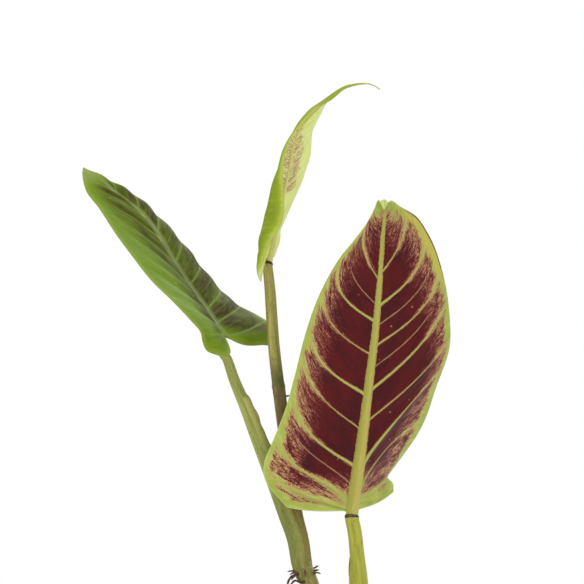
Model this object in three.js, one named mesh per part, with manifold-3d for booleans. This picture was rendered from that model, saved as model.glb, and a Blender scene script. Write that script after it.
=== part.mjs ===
// Potted philodendron: three leaves on their stalks, the main stem with its aerial roots, potting mix and a
// clay pot. Millimetres, +Z up, +X to the right of a viewer who looks along +Y. The origin is the middle of
// the pot's foot.
import * as THREE from "three";
import { mergeVertices } from "three/addons/utils/BufferGeometryUtils.js";
import Module from "manifold-3d";

const wasm = await Module();
wasm.setup();

const GAP = 0.3; // clearance between neighbours that touch on the real plant
const SAME_POINT = 1e-3; // points of a sheet that lie closer than this are one
const MERGE_DISTANCE = 1e-4;

// Clay pot, turned on the wheel
const POT_HEIGHT = 118;
const POT_RIM_RADIUS = 65;
const POT_RIM_HEIGHT = 24;
const POT_BODY_TOP_RADIUS = 59;
const POT_FOOT_RADIUS = 42;
const POT_WALL = 6;
const POT_FLOOR = 9;
const POT_EDGE_ROUND = 2;
const POT_CORNER_STEPS = 3;
const POT_LEDGE = 4; // inside step below the rim
const POT_SIDES = 48;
const DRAIN_RADIUS = 5;
const DRAIN_SIDES = 16;
const DRAIN_CIRCLE_RADIUS = 21;
const DRAIN_COUNT = 3;

// Potting mix
const SOIL_TOP = 104;
const SOIL_CROWN = 3; // how much higher the mix stands round the stem than at the pot's wall
const SOIL_CLEARANCE = 0.45; // to the pot's wall, measured along the radius
const SOIL_LUMP_SPACING = 10; // one lump of bark in each cell of a grid
const SOIL_LUMP_PLACE = [0.2, 0.8]; // share of its cell
const SOIL_LUMP_RADIUS = [5, 7.5];
const SOIL_LUMP_HEIGHT = [1.5, 2.6];
const SOIL_RINGS = 11;
const SOIL_SEED = 7;

// Leaf blades
const BLADE_THICKNESS = 0.9;
const BLADE_COLUMNS = 9;
const BLADE_SEAM = 0.35; // how far from the midline each half starts, inside the midrib
const BLADE_ROWS_PER_VEIN = 3;
const VEIN_BEND_NEAR_MIDRIB = 0.7; // share of a vein's bend at its first control point
const VEIN_BEND_NEAR_MARGIN = 1.3;
const PUCKER_REACH = 0.952; // share of a half's width that puckers between the veins, the margin stays even
const MIDRIB_SIDES = 8;
const MIDRIB_STATIONS = 26;
const MIDRIB_CROWDING = 1.7; // brings the midrib's sections closer together towards its tip
const MIDRIB_TAPER = 1.15;

// Stalks and stem
const STALK_SIDES = 14;
const STALK_STEP = 9; // distance between sections
const STALK_STRAIGHT_END = 3;
const WING_RISE = 9; // length over which a sheath's wing grows to full height
const WING_NARROWNESS = 8;
const ROOT_RADIUS = 0.85;
const ROOT_TAPER = 0.35;
const ROOT_SIDES = 6;
const ROOT_STATIONS = 5;

const clay = { color: 0xb5663f, roughness: 0.85, metalness: 0 };
const pottingMix = { color: 0x2e2119, roughness: 0.95, metalness: 0 };
const maroonLeaf = { color: 0x6b2a2a, roughness: 0.5, metalness: 0 };
const greenLeaf = { color: 0x6f8f3c, roughness: 0.42, metalness: 0 };
const youngLeaf = { color: 0xc2cf7e, roughness: 0.45, metalness: 0 };
const stalkGreen = { color: 0x9aa04a, roughness: 0.5, metalness: 0 };
const stemOlive = { color: 0x8f8740, roughness: 0.55, metalness: 0 };

// Each leaf has its own axes: along the blade from the stalk to the tip, across it, and lift towards the
// upper side. A midrib or margin point is (along, across, lift). Left is the half where across is negative.
// The knee is where the midrib leaves the stalk, before it runs along the midline from its second point on.
// The blade ends with its midline, and dripTip carries the midrib on as a bare thread.
// A margin starts at the corner of its basal lobe, and "veins" lists the main side veins from the lobe's
// inner edge on: from = place on the midrib and to = place on the margin, both as a share of that line's
// length, sweep = bend towards the leaf's base, bulge = bend outwards, arch = bend towards the upper side,
// rise = how far its first stretch leans towards the leaf's tip, or towards its base where it is negative.
const LEAF_RIGHT = {
  base: [15, -24, 208],
  along: [0.091, -0.301, 0.949],
  across: [1, 0, 0],
  knee: [
    [-0.5, 0, -1.2],
    [1.5, 0, 0],
  ],
  midribRadius: { base: 3.6, tip: 0.9 },
  midribSink: 0.5,
  veinRidge: 0.6,
  pucker: 1.1,
  midline: [
    [1.5, 0, 0],
    [20, 0.7, 2],
    [47, 1.8, 4.5],
    [80, 2.5, 7.5],
    [107, 3, 8.5],
    [134, 2.5, 9],
    [161, 1.5, 8],
    [176, 1, 5],
    [185, 0, -0.4],
    [185, -0.5, -6],
    [182, -0.5, -10],
  ],
  dripTip: [[180.5, -0.5, -10.8]],
  left: {
    margin: [
      [-3, -37, 7.5],
      [10, -50, 11],
      [19.5, -52, 13],
      [30.5, -49, 15],
      [51, -43, 17],
      [72.5, -39, 20],
      [98, -35, 22.5],
      [119, -29.5, 26],
      [140, -21, 26],
      [154, -13, 23],
      [168, -6.8, 15],
      [180, -4, 4],
      [184.8, -3.4, -1.2],
      [182, -0.5, -10],
    ],
    veins: [
      { from: 0, to: 0, sweep: 2, bulge: 0, arch: 0 },
      { from: 0, to: 0.11, sweep: 3, bulge: 0, arch: -1 },
      { from: 0.01, to: 0.2, sweep: 8, bulge: 0, arch: -2, rise: 13 },
      { from: 0.13, to: 0.36, sweep: 8, bulge: 10, arch: -3 },
      { from: 0.24, to: 0.468, sweep: 6, bulge: 10, arch: -4 },
      { from: 0.345, to: 0.54, sweep: 7.5, bulge: 10.5, arch: -5 },
      { from: 0.463, to: 0.63, sweep: 6, bulge: 10, arch: -5 },
      { from: 0.563, to: 0.72, sweep: 6, bulge: 11.5, arch: -5 },
      { from: 0.685, to: 0.87, sweep: 1.5, bulge: 8, arch: -4 },
      { from: 0.93, to: 0.955, sweep: 1, bulge: 2, arch: -1 },
    ],
  },
  right: {
    margin: [
      [0, 25, 38],
      [4, 24, 42],
      [6, 21, 44],
      [12.5, 23.5, 42],
      [23.5, 29, 40],
      [37.5, 35.5, 38],
      [52, 39.5, 35],
      [66, 41.5, 31],
      [91, 46, 24],
      [102, 46, 20.5],
      [120.5, 43, 17],
      [136, 39, 14.5],
      [157.5, 30.5, 11],
      [168.5, 23.5, 10.5],
      [174.5, 18.5, 8.5],
      [181, 9, 2.5],
      [185, 3.4, -1],
      [182, -0.5, -10],
    ],
    veins: [
      { from: 0, to: 0, sweep: 1.5, bulge: 0, arch: -4 },
      { from: 0.028, to: 0.047, sweep: 0.5, bulge: 0, arch: -5 },
      { from: 0.05, to: 0.24, sweep: -7, bulge: -6, arch: -7 },
      { from: 0.125, to: 0.425, sweep: -1.5, bulge: -2, arch: -8, rise: 4 },
      { from: 0.263, to: 0.51, sweep: 1.5, bulge: 1.5, arch: -8 },
      { from: 0.355, to: 0.62, sweep: 3, bulge: 4, arch: -7 },
      { from: 0.49, to: 0.71, sweep: 4.5, bulge: 6.5, arch: -5 },
      { from: 0.61, to: 0.825, sweep: 4.5, bulge: 9, arch: -4 },
      { from: 0.705, to: 0.9, sweep: 1.5, bulge: 4.5, arch: -3 },
      { from: 0.935, to: 0.962, sweep: 1, bulge: 0.5, arch: 0 },
    ],
  },
};

const LEAF_LEFT = {
  base: [-55.5, -8, 305.5],
  along: [-0.491, 0.64, 0.591],
  across: [-0.675, -0.708, 0.205],
  knee: [
    [-1.9, 0.7, -5.8],
    [1.3, 0.9, -3.2],
    [6, 0.3, -0.6],
  ],
  midribRadius: { base: 2.4, tip: 0.8 },
  midribSink: 0.55,
  veinRidge: 0.5,
  pucker: 1.3,
  midline: [
    [5, 0, 0],
    [27, 0, 1.5],
    [50, 0, 2.5],
    [73, 0, 4.5],
    [96, 0, 7.5],
    [119, 0, 7],
    [139, 0, 3],
    [160, 0, 0],
    [182, 0, -4.5],
  ],
  dripTip: [[183.5, 0, -5.2]],
  left: {
    margin: [
      [5, -36, 1],
      [11, -44, 5],
      [20, -45, 7],
      [34, -44, 4],
      [52, -43, -2],
      [72, -41, -6],
      [92, -37, -7],
      [115, -30, -5],
      [140, -20, -3],
      [160, -11, -2],
      [175, -4, -3.5],
      [182, 0, -4.5],
    ],
    veins: [
      { from: 0, to: 0, sweep: 1, bulge: 0, arch: 0, rise: -12 },
      { from: 0, to: 0.13, sweep: 2, bulge: 0, arch: 3, rise: -6 },
      { from: 0.06, to: 0.26, sweep: 4, bulge: 0, arch: 6 },
      { from: 0.13, to: 0.39, sweep: 6, bulge: 0, arch: 9 },
      { from: 0.255, to: 0.52, sweep: 7, bulge: 0, arch: 11 },
      { from: 0.37, to: 0.63, sweep: 6, bulge: 0, arch: 11 },
      { from: 0.52, to: 0.755, sweep: 5, bulge: 0, arch: 9 },
      { from: 0.65, to: 0.85, sweep: 3, bulge: 0, arch: 7 },
      { from: 0.785, to: 0.92, sweep: 1, bulge: 0, arch: 4 },
    ],
  },
  right: {
    margin: [
      [-18.5, 21.5, -1.5],
      [-18, 29, -1],
      [-15.2, 33.2, 2.5],
      [-12.5, 36, 6.5],
      [-4, 40, 8],
      [12, 43, 8],
      [35, 43, 5.5],
      [65, 39, 3.5],
      [90, 33, 1],
      [127, 22, -2.5],
      [154, 13, -6.5],
      [176.5, 3, -6],
      [182, 0, -4.5],
    ],
    veins: [
      { from: 0, to: 0, sweep: 9, bulge: -4.5, arch: 1 },
      { from: 0, to: 0.08, sweep: 2, bulge: 0, arch: 2 },
      { from: 0.04, to: 0.24, sweep: 4, bulge: 0, arch: 3 },
      { from: 0.1, to: 0.38, sweep: 6, bulge: 0, arch: 4 },
      { from: 0.16, to: 0.5, sweep: 7, bulge: 0, arch: 5 },
      { from: 0.25, to: 0.62, sweep: 7, bulge: 0, arch: 5 },
      { from: 0.36, to: 0.73, sweep: 6, bulge: 0, arch: 4 },
      { from: 0.47, to: 0.83, sweep: 5, bulge: 0, arch: 4 },
      { from: 0.6, to: 0.9, sweep: 3, bulge: 0, arch: 3 },
      { from: 0.78, to: 0.955, sweep: 1, bulge: 0, arch: 1 },
    ],
  },
};

const LEAF_MIDDLE = {
  base: [-32.5, -4, 351],
  along: [0.217, -0.193, 0.957],
  across: [1, 0, 0],
  knee: [
    [-0.5, 0, -1],
    [1.5, 0, 0],
  ],
  midribRadius: { base: 2.4, tip: 0.8 },
  midribSink: 0.5,
  veinRidge: 0.3,
  pucker: 0.5,
  midline: [
    [1.5, 0, 0],
    [27.5, 0, 0.5],
    [57.5, -0.5, 0],
    [68, -1, -1],
    [77.5, 0.5, -1],
    [89, 6, -2],
    [100.5, 13.5, -4.5],
    [109, 22.5, -7],
    [113, 31.5, -10.5],
  ],
  dripTip: [
    [113, 36.5, -13],
    [111, 41, -15.5],
  ],
  left: {
    margin: [
      [-10.4, -2, -14.5],
      [-5.3, -5, -17],
      [1, -3.8, -20],
      [11.5, -2.5, -22],
      [16.5, -1.5, -23],
      [25.5, 1.5, -23.5],
      [35, 1.5, -24],
      [43, -0.5, -23],
      [56.5, -4, -22.5],
      [67, -4.5, -21.5],
      [78, -2, -19.5],
      [87, 3, -17.5],
      [94.5, 7, -16.5],
      [99.5, 13.5, -15.5],
      [109, 22, -12],
      [113, 31.5, -10.5],
    ],
    veins: [
      { from: 0, to: 0, sweep: -5.5, bulge: 1, arch: 0 },
      { from: 0, to: 0.05, sweep: -2, bulge: 3.5, arch: 0 },
      { from: 0.05, to: 0.16, sweep: 3, bulge: 7, arch: 0 },
      { from: 0.15, to: 0.27, sweep: 4, bulge: 11.5, arch: 0 },
      { from: 0.28, to: 0.38, sweep: 4, bulge: 10, arch: 0 },
      { from: 0.42, to: 0.52, sweep: 4, bulge: 4.5, arch: 0 },
      { from: 0.55, to: 0.66, sweep: 0, bulge: 2.5, arch: 0 },
      { from: 0.68, to: 0.775, sweep: -1, bulge: 2.5, arch: 0 },
      { from: 0.82, to: 0.89, sweep: -2, bulge: 0.5, arch: 0 },
    ],
  },
  right: {
    margin: [
      [3, 3, 7],
      [11.5, 4, 10],
      [19, 3, 12.5],
      [29, 5, 14.5],
      [38.5, 7.5, 15.5],
      [49, 9.5, 15.5],
      [56.5, 10, 14.5],
      [63, 10.5, 14],
      [73.5, 9, 12],
      [79.5, 8.5, 9],
      [87.5, 10.5, 4.5],
      [98.5, 13.5, -0.5],
      [108, 22, -6],
      [113, 31.5, -10.5],
    ],
    veins: [
      { from: 0, to: 0, sweep: 0, bulge: 1, arch: 0 },
      { from: 0.02, to: 0.1, sweep: 1, bulge: 1, arch: 0 },
      { from: 0.08, to: 0.26, sweep: 3, bulge: 0, arch: 0 },
      { from: 0.2, to: 0.38, sweep: 3, bulge: 1, arch: 0 },
      { from: 0.34, to: 0.51, sweep: 3, bulge: 3, arch: 0 },
      { from: 0.48, to: 0.64, sweep: 2, bulge: 2, arch: 0 },
      { from: 0.62, to: 0.745, sweep: 1, bulge: 1, arch: 0 },
      { from: 0.75, to: 0.85, sweep: 0, bulge: 0, arch: 0 },
    ],
  },
};

// A stalk's route runs upwards, each point as [x, y, z, radius]. Its top follows from the leaf it carries.
// A wing is the thin edge of the sheath: it runs from the foot up to its shoulder, on the side that `towards`
// gives as an angle from +X.
const STALK_RIGHT = {
  route: [
    [6.5, -9.5, 84, 5],
    [7.5, -11, 104, 5],
    [10.5, -14.5, 120, 4.9],
    [15.5, -19.5, 138, 4.7],
    [19.4, -22.8, 153, 4.7],
    [19.5, -24.2, 167, 4.7],
    [17.9, -25, 184, 4.2],
    [16.5, -25.7, 197, 4.05],
  ],
  topRadius: 3.9,
  wing: { towards: 180, shoulder: 184, height: 1.3 },
};
const STALK_LEFT = {
  route: [
    [-14.6, -1, 175, 4.6],
    [-17.1, -1.6, 191, 4.9],
    [-22, -2.4, 204.5, 4.7],
    [-33.1, -3.6, 236, 4.8],
    [-37.4, -4.2, 248, 4.6],
    [-43.9, -5.2, 265, 4],
    [-52, -6.6, 282.5, 3.25],
    [-56.4, -7.7, 295, 2.8],
  ],
  topRadius: 2.6,
  wing: { towards: -15, shoulder: 273, height: 0.9 },
};
const STALK_MIDDLE = {
  route: [
    [-11.2, 0.4, 175, 4.2],
    [-13.2, 0, 190, 4],
    [-16.6, -0.5, 205, 3.9],
    [-21, -1.2, 236, 3.8],
    [-25.6, -2, 270, 3.7],
    [-29.4, -2.9, 302, 3.35],
    [-31.6, -3.7, 334, 3.2],
  ],
  topRadius: 2.75,
};
const STEM = {
  route: [
    [1, 1, 82, 5.8],
    [0.3, 1, 104, 5.9],
    [-1.5, 0.5, 130, 5.5],
    [-4.6, 0, 150, 5.2],
    [-8.8, 0, 165, 5.2],
    [-10.9, 0, 170, 5.4],
    [-12.3, 0, 173.5, 5.7],
    [-12.9, 0, 176, 5.6],
  ],
};

// Aerial roots of the node, each from inside the stem to its end
const ROOTS = [
  [[-13, -2, 172.8], [-18, -3, 173], [-21.4, -4, 172.8]],
  [[-13, -3, 172], [-17.6, -5, 172], [-20, -6.4, 170.8]],
  [[-12, -3, 171], [-17.5, -5.5, 171], [-20.6, -7, 168.6], [-22, -7.4, 163], [-21.4, -7, 156]],
  [[-10, -3, 167], [-14, -6, 166.9], [-17.2, -7, 167.8], [-19.4, -7.4, 165.4], [-20.4, -7, 160.5]],
  [[-10, 1, 173], [-6, 1.5, 174.2], [-3.6, 1.5, 175.4]],
  [[-10, -1, 172], [-6, -2.4, 173], [-3.4, -3.4, 173.4]],
  [[-9, -2, 170.5], [-5, -4, 172], [-2.8, -5.2, 171.6]],
  [[-12, -3, 173], [-11.6, -6.6, 172.2], [-11.2, -8.4, 170]],
  [[-12, 3, 173], [-13.4, 7, 173.2], [-15.6, 8.6, 171.4], [-16.4, 9, 167]],
  [[-10, 3, 171.5], [-8.4, 7, 171], [-6.6, 9, 168.4], [-6.2, 9.4, 163.4]],
  [[-12, 2, 170], [-17, 5, 169.4], [-19.6, 6.4, 166.6]],
];

const lerp = THREE.MathUtils.lerp;
const clamp = THREE.MathUtils.clamp;
const vector = ([x, y, z]) => new THREE.Vector3(x, y, z);

// Shares of a length from 0 to 1, in even steps
const evenShares = (steps) => Array.from({ length: steps + 1 }, (_, step) => step / steps);

// Value at a share of the way through evenly spread samples
function sampled(values, share) {
  const place = clamp(share, 0, 1) * (values.length - 1);
  const index = Math.min(Math.floor(place), values.length - 2);
  return lerp(values[index], values[index + 1], place - index);
}

// A closed mesh with merged vertices becomes a solid that can be joined and cut.
function solidOf(geometry) {
  const bare = new THREE.BufferGeometry();
  bare.setAttribute("position", geometry.getAttribute("position"));
  bare.setIndex(geometry.index);
  const merged = mergeVertices(bare, MERGE_DISTANCE);
  return new wasm.Manifold(
    new wasm.Mesh({
      numProp: 3,
      vertProperties: merged.attributes.position.array,
      triVerts: new Uint32Array(merged.index.array),
    }),
  );
}

// Joins overlapping solids into one body. A hollow that the join seals is filled, and a loose scrap dropped.
function fused(...solids) {
  const bodies = solids.reduce((whole, solid) => whole.add(solid)).decompose();
  return bodies.reduce((largest, body) => (body.volume() > largest.volume() ? body : largest));
}

function geometryOf(solid) {
  const mesh = solid.getMesh();
  const geometry = new THREE.BufferGeometry();
  geometry.setAttribute("position", new THREE.BufferAttribute(mesh.vertProperties, 3));
  geometry.setIndex(new THREE.BufferAttribute(mesh.triVerts, 1));
  geometry.computeVertexNormals();
  return geometry;
}

function meshGeometry(points, triangles) {
  const geometry = new THREE.BufferGeometry().setFromPoints(points);
  geometry.setIndex(triangles.flat());
  return geometry;
}

function piece(name, geometry, look) {
  const mesh = new THREE.Mesh(geometry, new THREE.MeshStandardMaterial(look));
  mesh.name = name;
  return mesh;
}

// Joins rings of equal count into a closed body with flat ends. Rings run anticlockwise seen from the last.
function loft(rings) {
  const sides = rings[0].length;
  const last = rings.length - 1;
  const points = rings.flat();
  const middles = [rings[0], rings[last]].map((ring) =>
    ring.reduce((sum, point) => sum.add(point), new THREE.Vector3()).divideScalar(sides),
  );
  const firstMiddle = points.length;
  const lastMiddle = firstMiddle + 1;
  points.push(...middles);
  const triangles = [];
  for (let side = 0; side < sides; side++) {
    const next = (side + 1) % sides;
    triangles.push([firstMiddle, next, side]);
    triangles.push([lastMiddle, last * sides + side, last * sides + next]);
    for (let ring = 0; ring < last; ring++) {
      const low = ring * sides;
      const high = low + sides;
      triangles.push([low + side, low + next, high + next]);
      triangles.push([low + side, high + next, high + side]);
    }
  }
  return meshGeometry(points, triangles);
}

// Rings round a curve at the given shares of its length. outline(share, angle) gives the distance from the
// curve, where angle 0 points to `facing`.
function ringsAlong(curve, shares, sides, outline, facing = new THREE.Vector3(1, 0, 0)) {
  const rings = [];
  for (const share of shares) {
    const middle = curve.getPointAt(share);
    const forward = curve.getTangentAt(share);
    const right = facing.clone().addScaledVector(forward, -facing.dot(forward)).normalize();
    const up = new THREE.Vector3().crossVectors(forward, right);
    const ring = [];
    for (let side = 0; side < sides; side++) {
      const angle = (2 * Math.PI * side) / sides;
      const reach = outline(share, angle);
      ring.push(
        middle
          .clone()
          .addScaledVector(right, reach * Math.cos(angle))
          .addScaledVector(up, reach * Math.sin(angle)),
      );
    }
    rings.push(ring);
  }
  return rings;
}

function curveThrough(points) {
  return new THREE.CatmullRomCurve3(points.map(vector));
}

// One half of a blade as a sheet of rows that run from the midline to the margin along the side veins.
// A row's place between two veins is its `phase`, 0 on a vein and 1 half way.
function halfSheet(leaf, half, outwards) {
  const midline = curveThrough(leaf.midline);
  const margin = curveThrough(half.margin);
  const veins = [...half.veins, { from: 1, to: 1, sweep: 0, bulge: 0, arch: 0 }];
  const rowCount = (veins.length - 1) * BLADE_ROWS_PER_VEIN;
  const between = (key, share) => sampled(veins.map((vein) => vein[key] ?? 0), share);
  const rows = [];
  for (let row = 0; row <= rowCount; row++) {
    const share = row / rowCount;
    const start = midline.getPointAt(between("from", share));
    if (row < rowCount) start.y += outwards * BLADE_SEAM;
    const end = margin.getPointAt(between("to", share));
    const bend = new THREE.Vector3(
      -between("sweep", share),
      outwards * between("bulge", share),
      between("arch", share),
    );
    const first = start.clone().lerp(end, 1 / 3).addScaledVector(bend, VEIN_BEND_NEAR_MIDRIB);
    first.x += between("rise", share);
    const second = start.clone().lerp(end, 2 / 3).addScaledVector(bend, VEIN_BEND_NEAR_MARGIN);
    const vein = new THREE.CubicBezierCurve3(start, first, second, end);
    const phase = Math.sin((Math.PI * row) / BLADE_ROWS_PER_VEIN) ** 2;
    rows.push({ points: vein.getPoints(BLADE_COLUMNS), phase });
  }
  return rows;
}

// Thickens a sheet of rows into a closed solid. Both faces are split into triangles alike.
// Rows that start at one place share that vertex, and so does the last row, which has shrunk to the tip.
function halfBlade(leaf, half, outwards) {
  const rows = halfSheet(leaf, half, outwards);
  const points = [];
  const ridges = [];
  const puckers = [];
  const ids = rows.map((row) =>
    row.points.map((point, column) => {
      const known = points.findIndex((other) => other.distanceTo(point) < SAME_POINT);
      if (known >= 0) return known;
      const share = column / BLADE_COLUMNS;
      const fade = Math.sin(Math.PI * Math.min(1, share / PUCKER_REACH));
      points.push(point);
      puckers.push(leaf.pucker * row.phase * fade);
      ridges.push(leaf.veinRidge * (1 - row.phase) * (1 - share));
      return points.length - 1;
    }),
  );
  const triangles = [];
  const addTriangle = (a, b, c) => {
    if (a !== b && b !== c && c !== a) triangles.push(outwards > 0 ? [a, b, c] : [a, c, b]);
  };
  for (let row = 0; row + 1 < ids.length; row++) {
    for (let column = 0; column < BLADE_COLUMNS; column++) {
      const [near, far] = [ids[row], ids[row + 1]];
      addTriangle(near[column], far[column + 1], near[column + 1]);
      addTriangle(near[column], far[column], far[column + 1]);
    }
  }
  const normals = sheetNormals(points, triangles);
  const upper = points.map((point, i) =>
    point.clone().addScaledVector(normals[i], BLADE_THICKNESS / 2 + puckers[i]),
  );
  const lower = points.map((point, i) =>
    point.clone().addScaledVector(normals[i], puckers[i] - BLADE_THICKNESS / 2 - ridges[i]),
  );
  return sheetSolid(upper, lower, triangles);
}

function sheetNormals(points, triangles) {
  const normals = points.map(() => new THREE.Vector3());
  const corner = new THREE.Triangle();
  const normal = new THREE.Vector3();
  for (const triangle of triangles) {
    corner.setFromPointsAndIndices(points, ...triangle);
    corner.getNormal(normal).multiplyScalar(corner.getArea());
    triangle.forEach((id) => normals[id].add(normal));
  }
  return normals.map((sum) => sum.normalize());
}

function sheetSolid(upper, lower, triangles) {
  const count = upper.length;
  const faces = [];
  const open = new Map();
  for (const [a, b, c] of triangles) {
    faces.push([a, b, c], [count + c, count + b, count + a]);
    for (const [from, to] of [[a, b], [b, c], [c, a]]) {
      if (!open.delete(`${to} ${from}`)) open.set(`${from} ${to}`, [from, to]);
    }
  }
  for (const [from, to] of open.values()) {
    faces.push([to, from, count + from], [to, count + from, count + to]);
  }
  return solidOf(meshGeometry([...upper, ...lower], faces));
}

function midribCurve(leaf) {
  return curveThrough([...leaf.knee, ...leaf.midline.slice(1), ...leaf.dripTip]);
}

// The midrib is a tapering cord sunk into the blade. It stands out on the underside.
function midribSolid(leaf) {
  const { base, tip } = leaf.midribRadius;
  const curve = midribCurve(leaf);
  const radius = (share) => tip + (base - tip) * (1 - share) ** MIDRIB_TAPER;
  const stations = evenShares(MIDRIB_STATIONS).map((share) => 1 - (1 - share) ** MIDRIB_CROWDING);
  const rings = ringsAlong(curve, stations, MIDRIB_SIDES, radius, new THREE.Vector3(0, 1, 0));
  rings.forEach((ring, station) => {
    const sink = leaf.midribSink * (radius(stations[station]) - tip);
    ring.forEach((point) => point.setZ(point.z - sink));
  });
  return solidOf(loft(rings));
}

// Leaf axes and place as one matrix
function leafPlacement(leaf) {
  const along = vector(leaf.along).normalize();
  const across = vector(leaf.across);
  across.addScaledVector(along, -across.dot(along)).normalize();
  const lift = new THREE.Vector3().crossVectors(along, across);
  return new THREE.Matrix4().makeBasis(along, across, lift).setPosition(vector(leaf.base));
}

function leafMesh(name, leaf, look) {
  const solid = fused(halfBlade(leaf, leaf.left, -1), halfBlade(leaf, leaf.right, 1), midribSolid(leaf));
  const mesh = piece(name, geometryOf(solid), look);
  mesh.applyMatrix4(leafPlacement(leaf));
  return mesh;
}

// The last two points of a stalk, just short of its leaf's midrib and square to it
function stalkTop(leaf, radius) {
  const curve = midribCurve(leaf);
  const placement = leafPlacement(leaf);
  const start = curve.getPointAt(0);
  start.z -= leaf.midribSink * (leaf.midribRadius.base - leaf.midribRadius.tip);
  start.applyMatrix4(placement);
  const upwards = curve.getTangentAt(0).transformDirection(placement);
  return [STALK_STRAIGHT_END, 0].map((below) => {
    const point = start.clone().addScaledVector(upwards, -GAP - below);
    return [...point.toArray(), radius];
  });
}

// A round stalk along its route. `grown` makes it larger all round, which gives the hole that it stands in.
function stalkSolid(stalk, leaf, grown = 0) {
  const route = leaf ? [...stalk.route, ...stalkTop(leaf, stalk.topRadius)] : stalk.route;
  const curve = curveThrough(route);
  const radii = route.map((point) => point[3] + grown);
  const steps = Math.round(curve.getLength() / STALK_STEP);
  const outline = (share, angle) => {
    const radius = sampled(radii, curve.getUtoTmapping(share));
    if (!stalk.wing) return radius;
    const { towards, shoulder, height } = stalk.wing;
    const below = clamp((shoulder - curve.getPointAt(share).z) / WING_RISE, 0, 1);
    const turned = THREE.MathUtils.degToRad(towards) - angle;
    return radius + height * below * Math.max(0, Math.cos(turned)) ** WING_NARROWNESS;
  };
  const rings = ringsAlong(curve, evenShares(steps), STALK_SIDES, outline);
  rings.at(0).forEach((point) => point.addScaledVector(curve.getTangentAt(0), -grown));
  rings.at(-1).forEach((point) => point.addScaledVector(curve.getTangentAt(1), grown));
  return solidOf(loft(rings));
}

function rootSolid(points) {
  const radius = (share) => ROOT_RADIUS * (1 - ROOT_TAPER * share);
  return solidOf(loft(ringsAlong(curveThrough(points), evenShares(ROOT_STATIONS), ROOT_SIDES, radius)));
}

// Turns a profile of [radius, height] points about the Z axis.
function turned(profile) {
  const outline = profile.map(([radius, height]) => new THREE.Vector2(radius, height));
  return new THREE.LatheGeometry(outline, POT_SIDES).rotateX(Math.PI / 2);
}

// Quarter circle of the pot's edge rounding about [radius, height], anticlockwise from an angle in degrees
function roundedEdge(radius, height, from) {
  return evenShares(POT_CORNER_STEPS).map((share) => {
    const angle = THREE.MathUtils.degToRad(from + 90 * share);
    return [radius + POT_EDGE_ROUND * Math.cos(angle), height + POT_EDGE_ROUND * Math.sin(angle)];
  });
}

// Inside of the pot from its mouth down, as corners of the profile
function potInside() {
  const ledgeHeight = POT_HEIGHT - POT_RIM_HEIGHT;
  return {
    mouth: [POT_RIM_RADIUS - POT_WALL, POT_HEIGHT - POT_EDGE_ROUND],
    ledge: [POT_BODY_TOP_RADIUS - POT_WALL + POT_LEDGE, ledgeHeight],
    shoulder: [POT_BODY_TOP_RADIUS - POT_WALL, ledgeHeight - POT_LEDGE],
    floor: [POT_FOOT_RADIUS - POT_WALL, POT_FLOOR],
  };
}

function potSolid() {
  const { mouth, ledge, shoulder, floor } = potInside();
  const profile = [
    [0, 0],
    ...roundedEdge(POT_FOOT_RADIUS - POT_EDGE_ROUND, POT_EDGE_ROUND, -90),
    [POT_BODY_TOP_RADIUS, ledge[1]],
    ...roundedEdge(POT_RIM_RADIUS - POT_EDGE_ROUND, ledge[1] + POT_EDGE_ROUND, -90),
    ...roundedEdge(POT_RIM_RADIUS - POT_EDGE_ROUND, mouth[1], 0),
    ...roundedEdge(mouth[0] + POT_EDGE_ROUND, mouth[1], 90),
    ledge,
    shoulder,
    floor,
    [0, POT_FLOOR],
  ];
  const drillLength = 3 * POT_FLOOR; // passes well through the floor
  const drill = new THREE.CylinderGeometry(DRAIN_RADIUS, DRAIN_RADIUS, drillLength, DRAIN_SIDES);
  drill.rotateX(Math.PI / 2);
  let pot = solidOf(turned(profile));
  for (let count = 0; count < DRAIN_COUNT; count++) {
    const angle = (2 * Math.PI * count) / DRAIN_COUNT;
    const [x, y] = [DRAIN_CIRCLE_RADIUS * Math.cos(angle), DRAIN_CIRCLE_RADIUS * Math.sin(angle)];
    pot = pot.subtract(solidOf(drill.clone().translate(x, y, 0)));
  }
  return pot;
}

// Lumps of bark in the mix, one in each cell of a grid, with seeded draws for place and size
function barkLumps() {
  THREE.MathUtils.seededRandom(SOIL_SEED);
  const draw = ([low, high]) => lerp(low, high, THREE.MathUtils.seededRandom());
  const cells = Math.ceil(POT_RIM_RADIUS / SOIL_LUMP_SPACING);
  const lumps = [];
  for (let column = -cells; column < cells; column++) {
    for (let row = -cells; row < cells; row++) {
      lumps.push({
        x: (column + draw(SOIL_LUMP_PLACE)) * SOIL_LUMP_SPACING,
        y: (row + draw(SOIL_LUMP_PLACE)) * SOIL_LUMP_SPACING,
        radius: draw(SOIL_LUMP_RADIUS),
        height: draw(SOIL_LUMP_HEIGHT),
      });
    }
  }
  return lumps;
}

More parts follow.
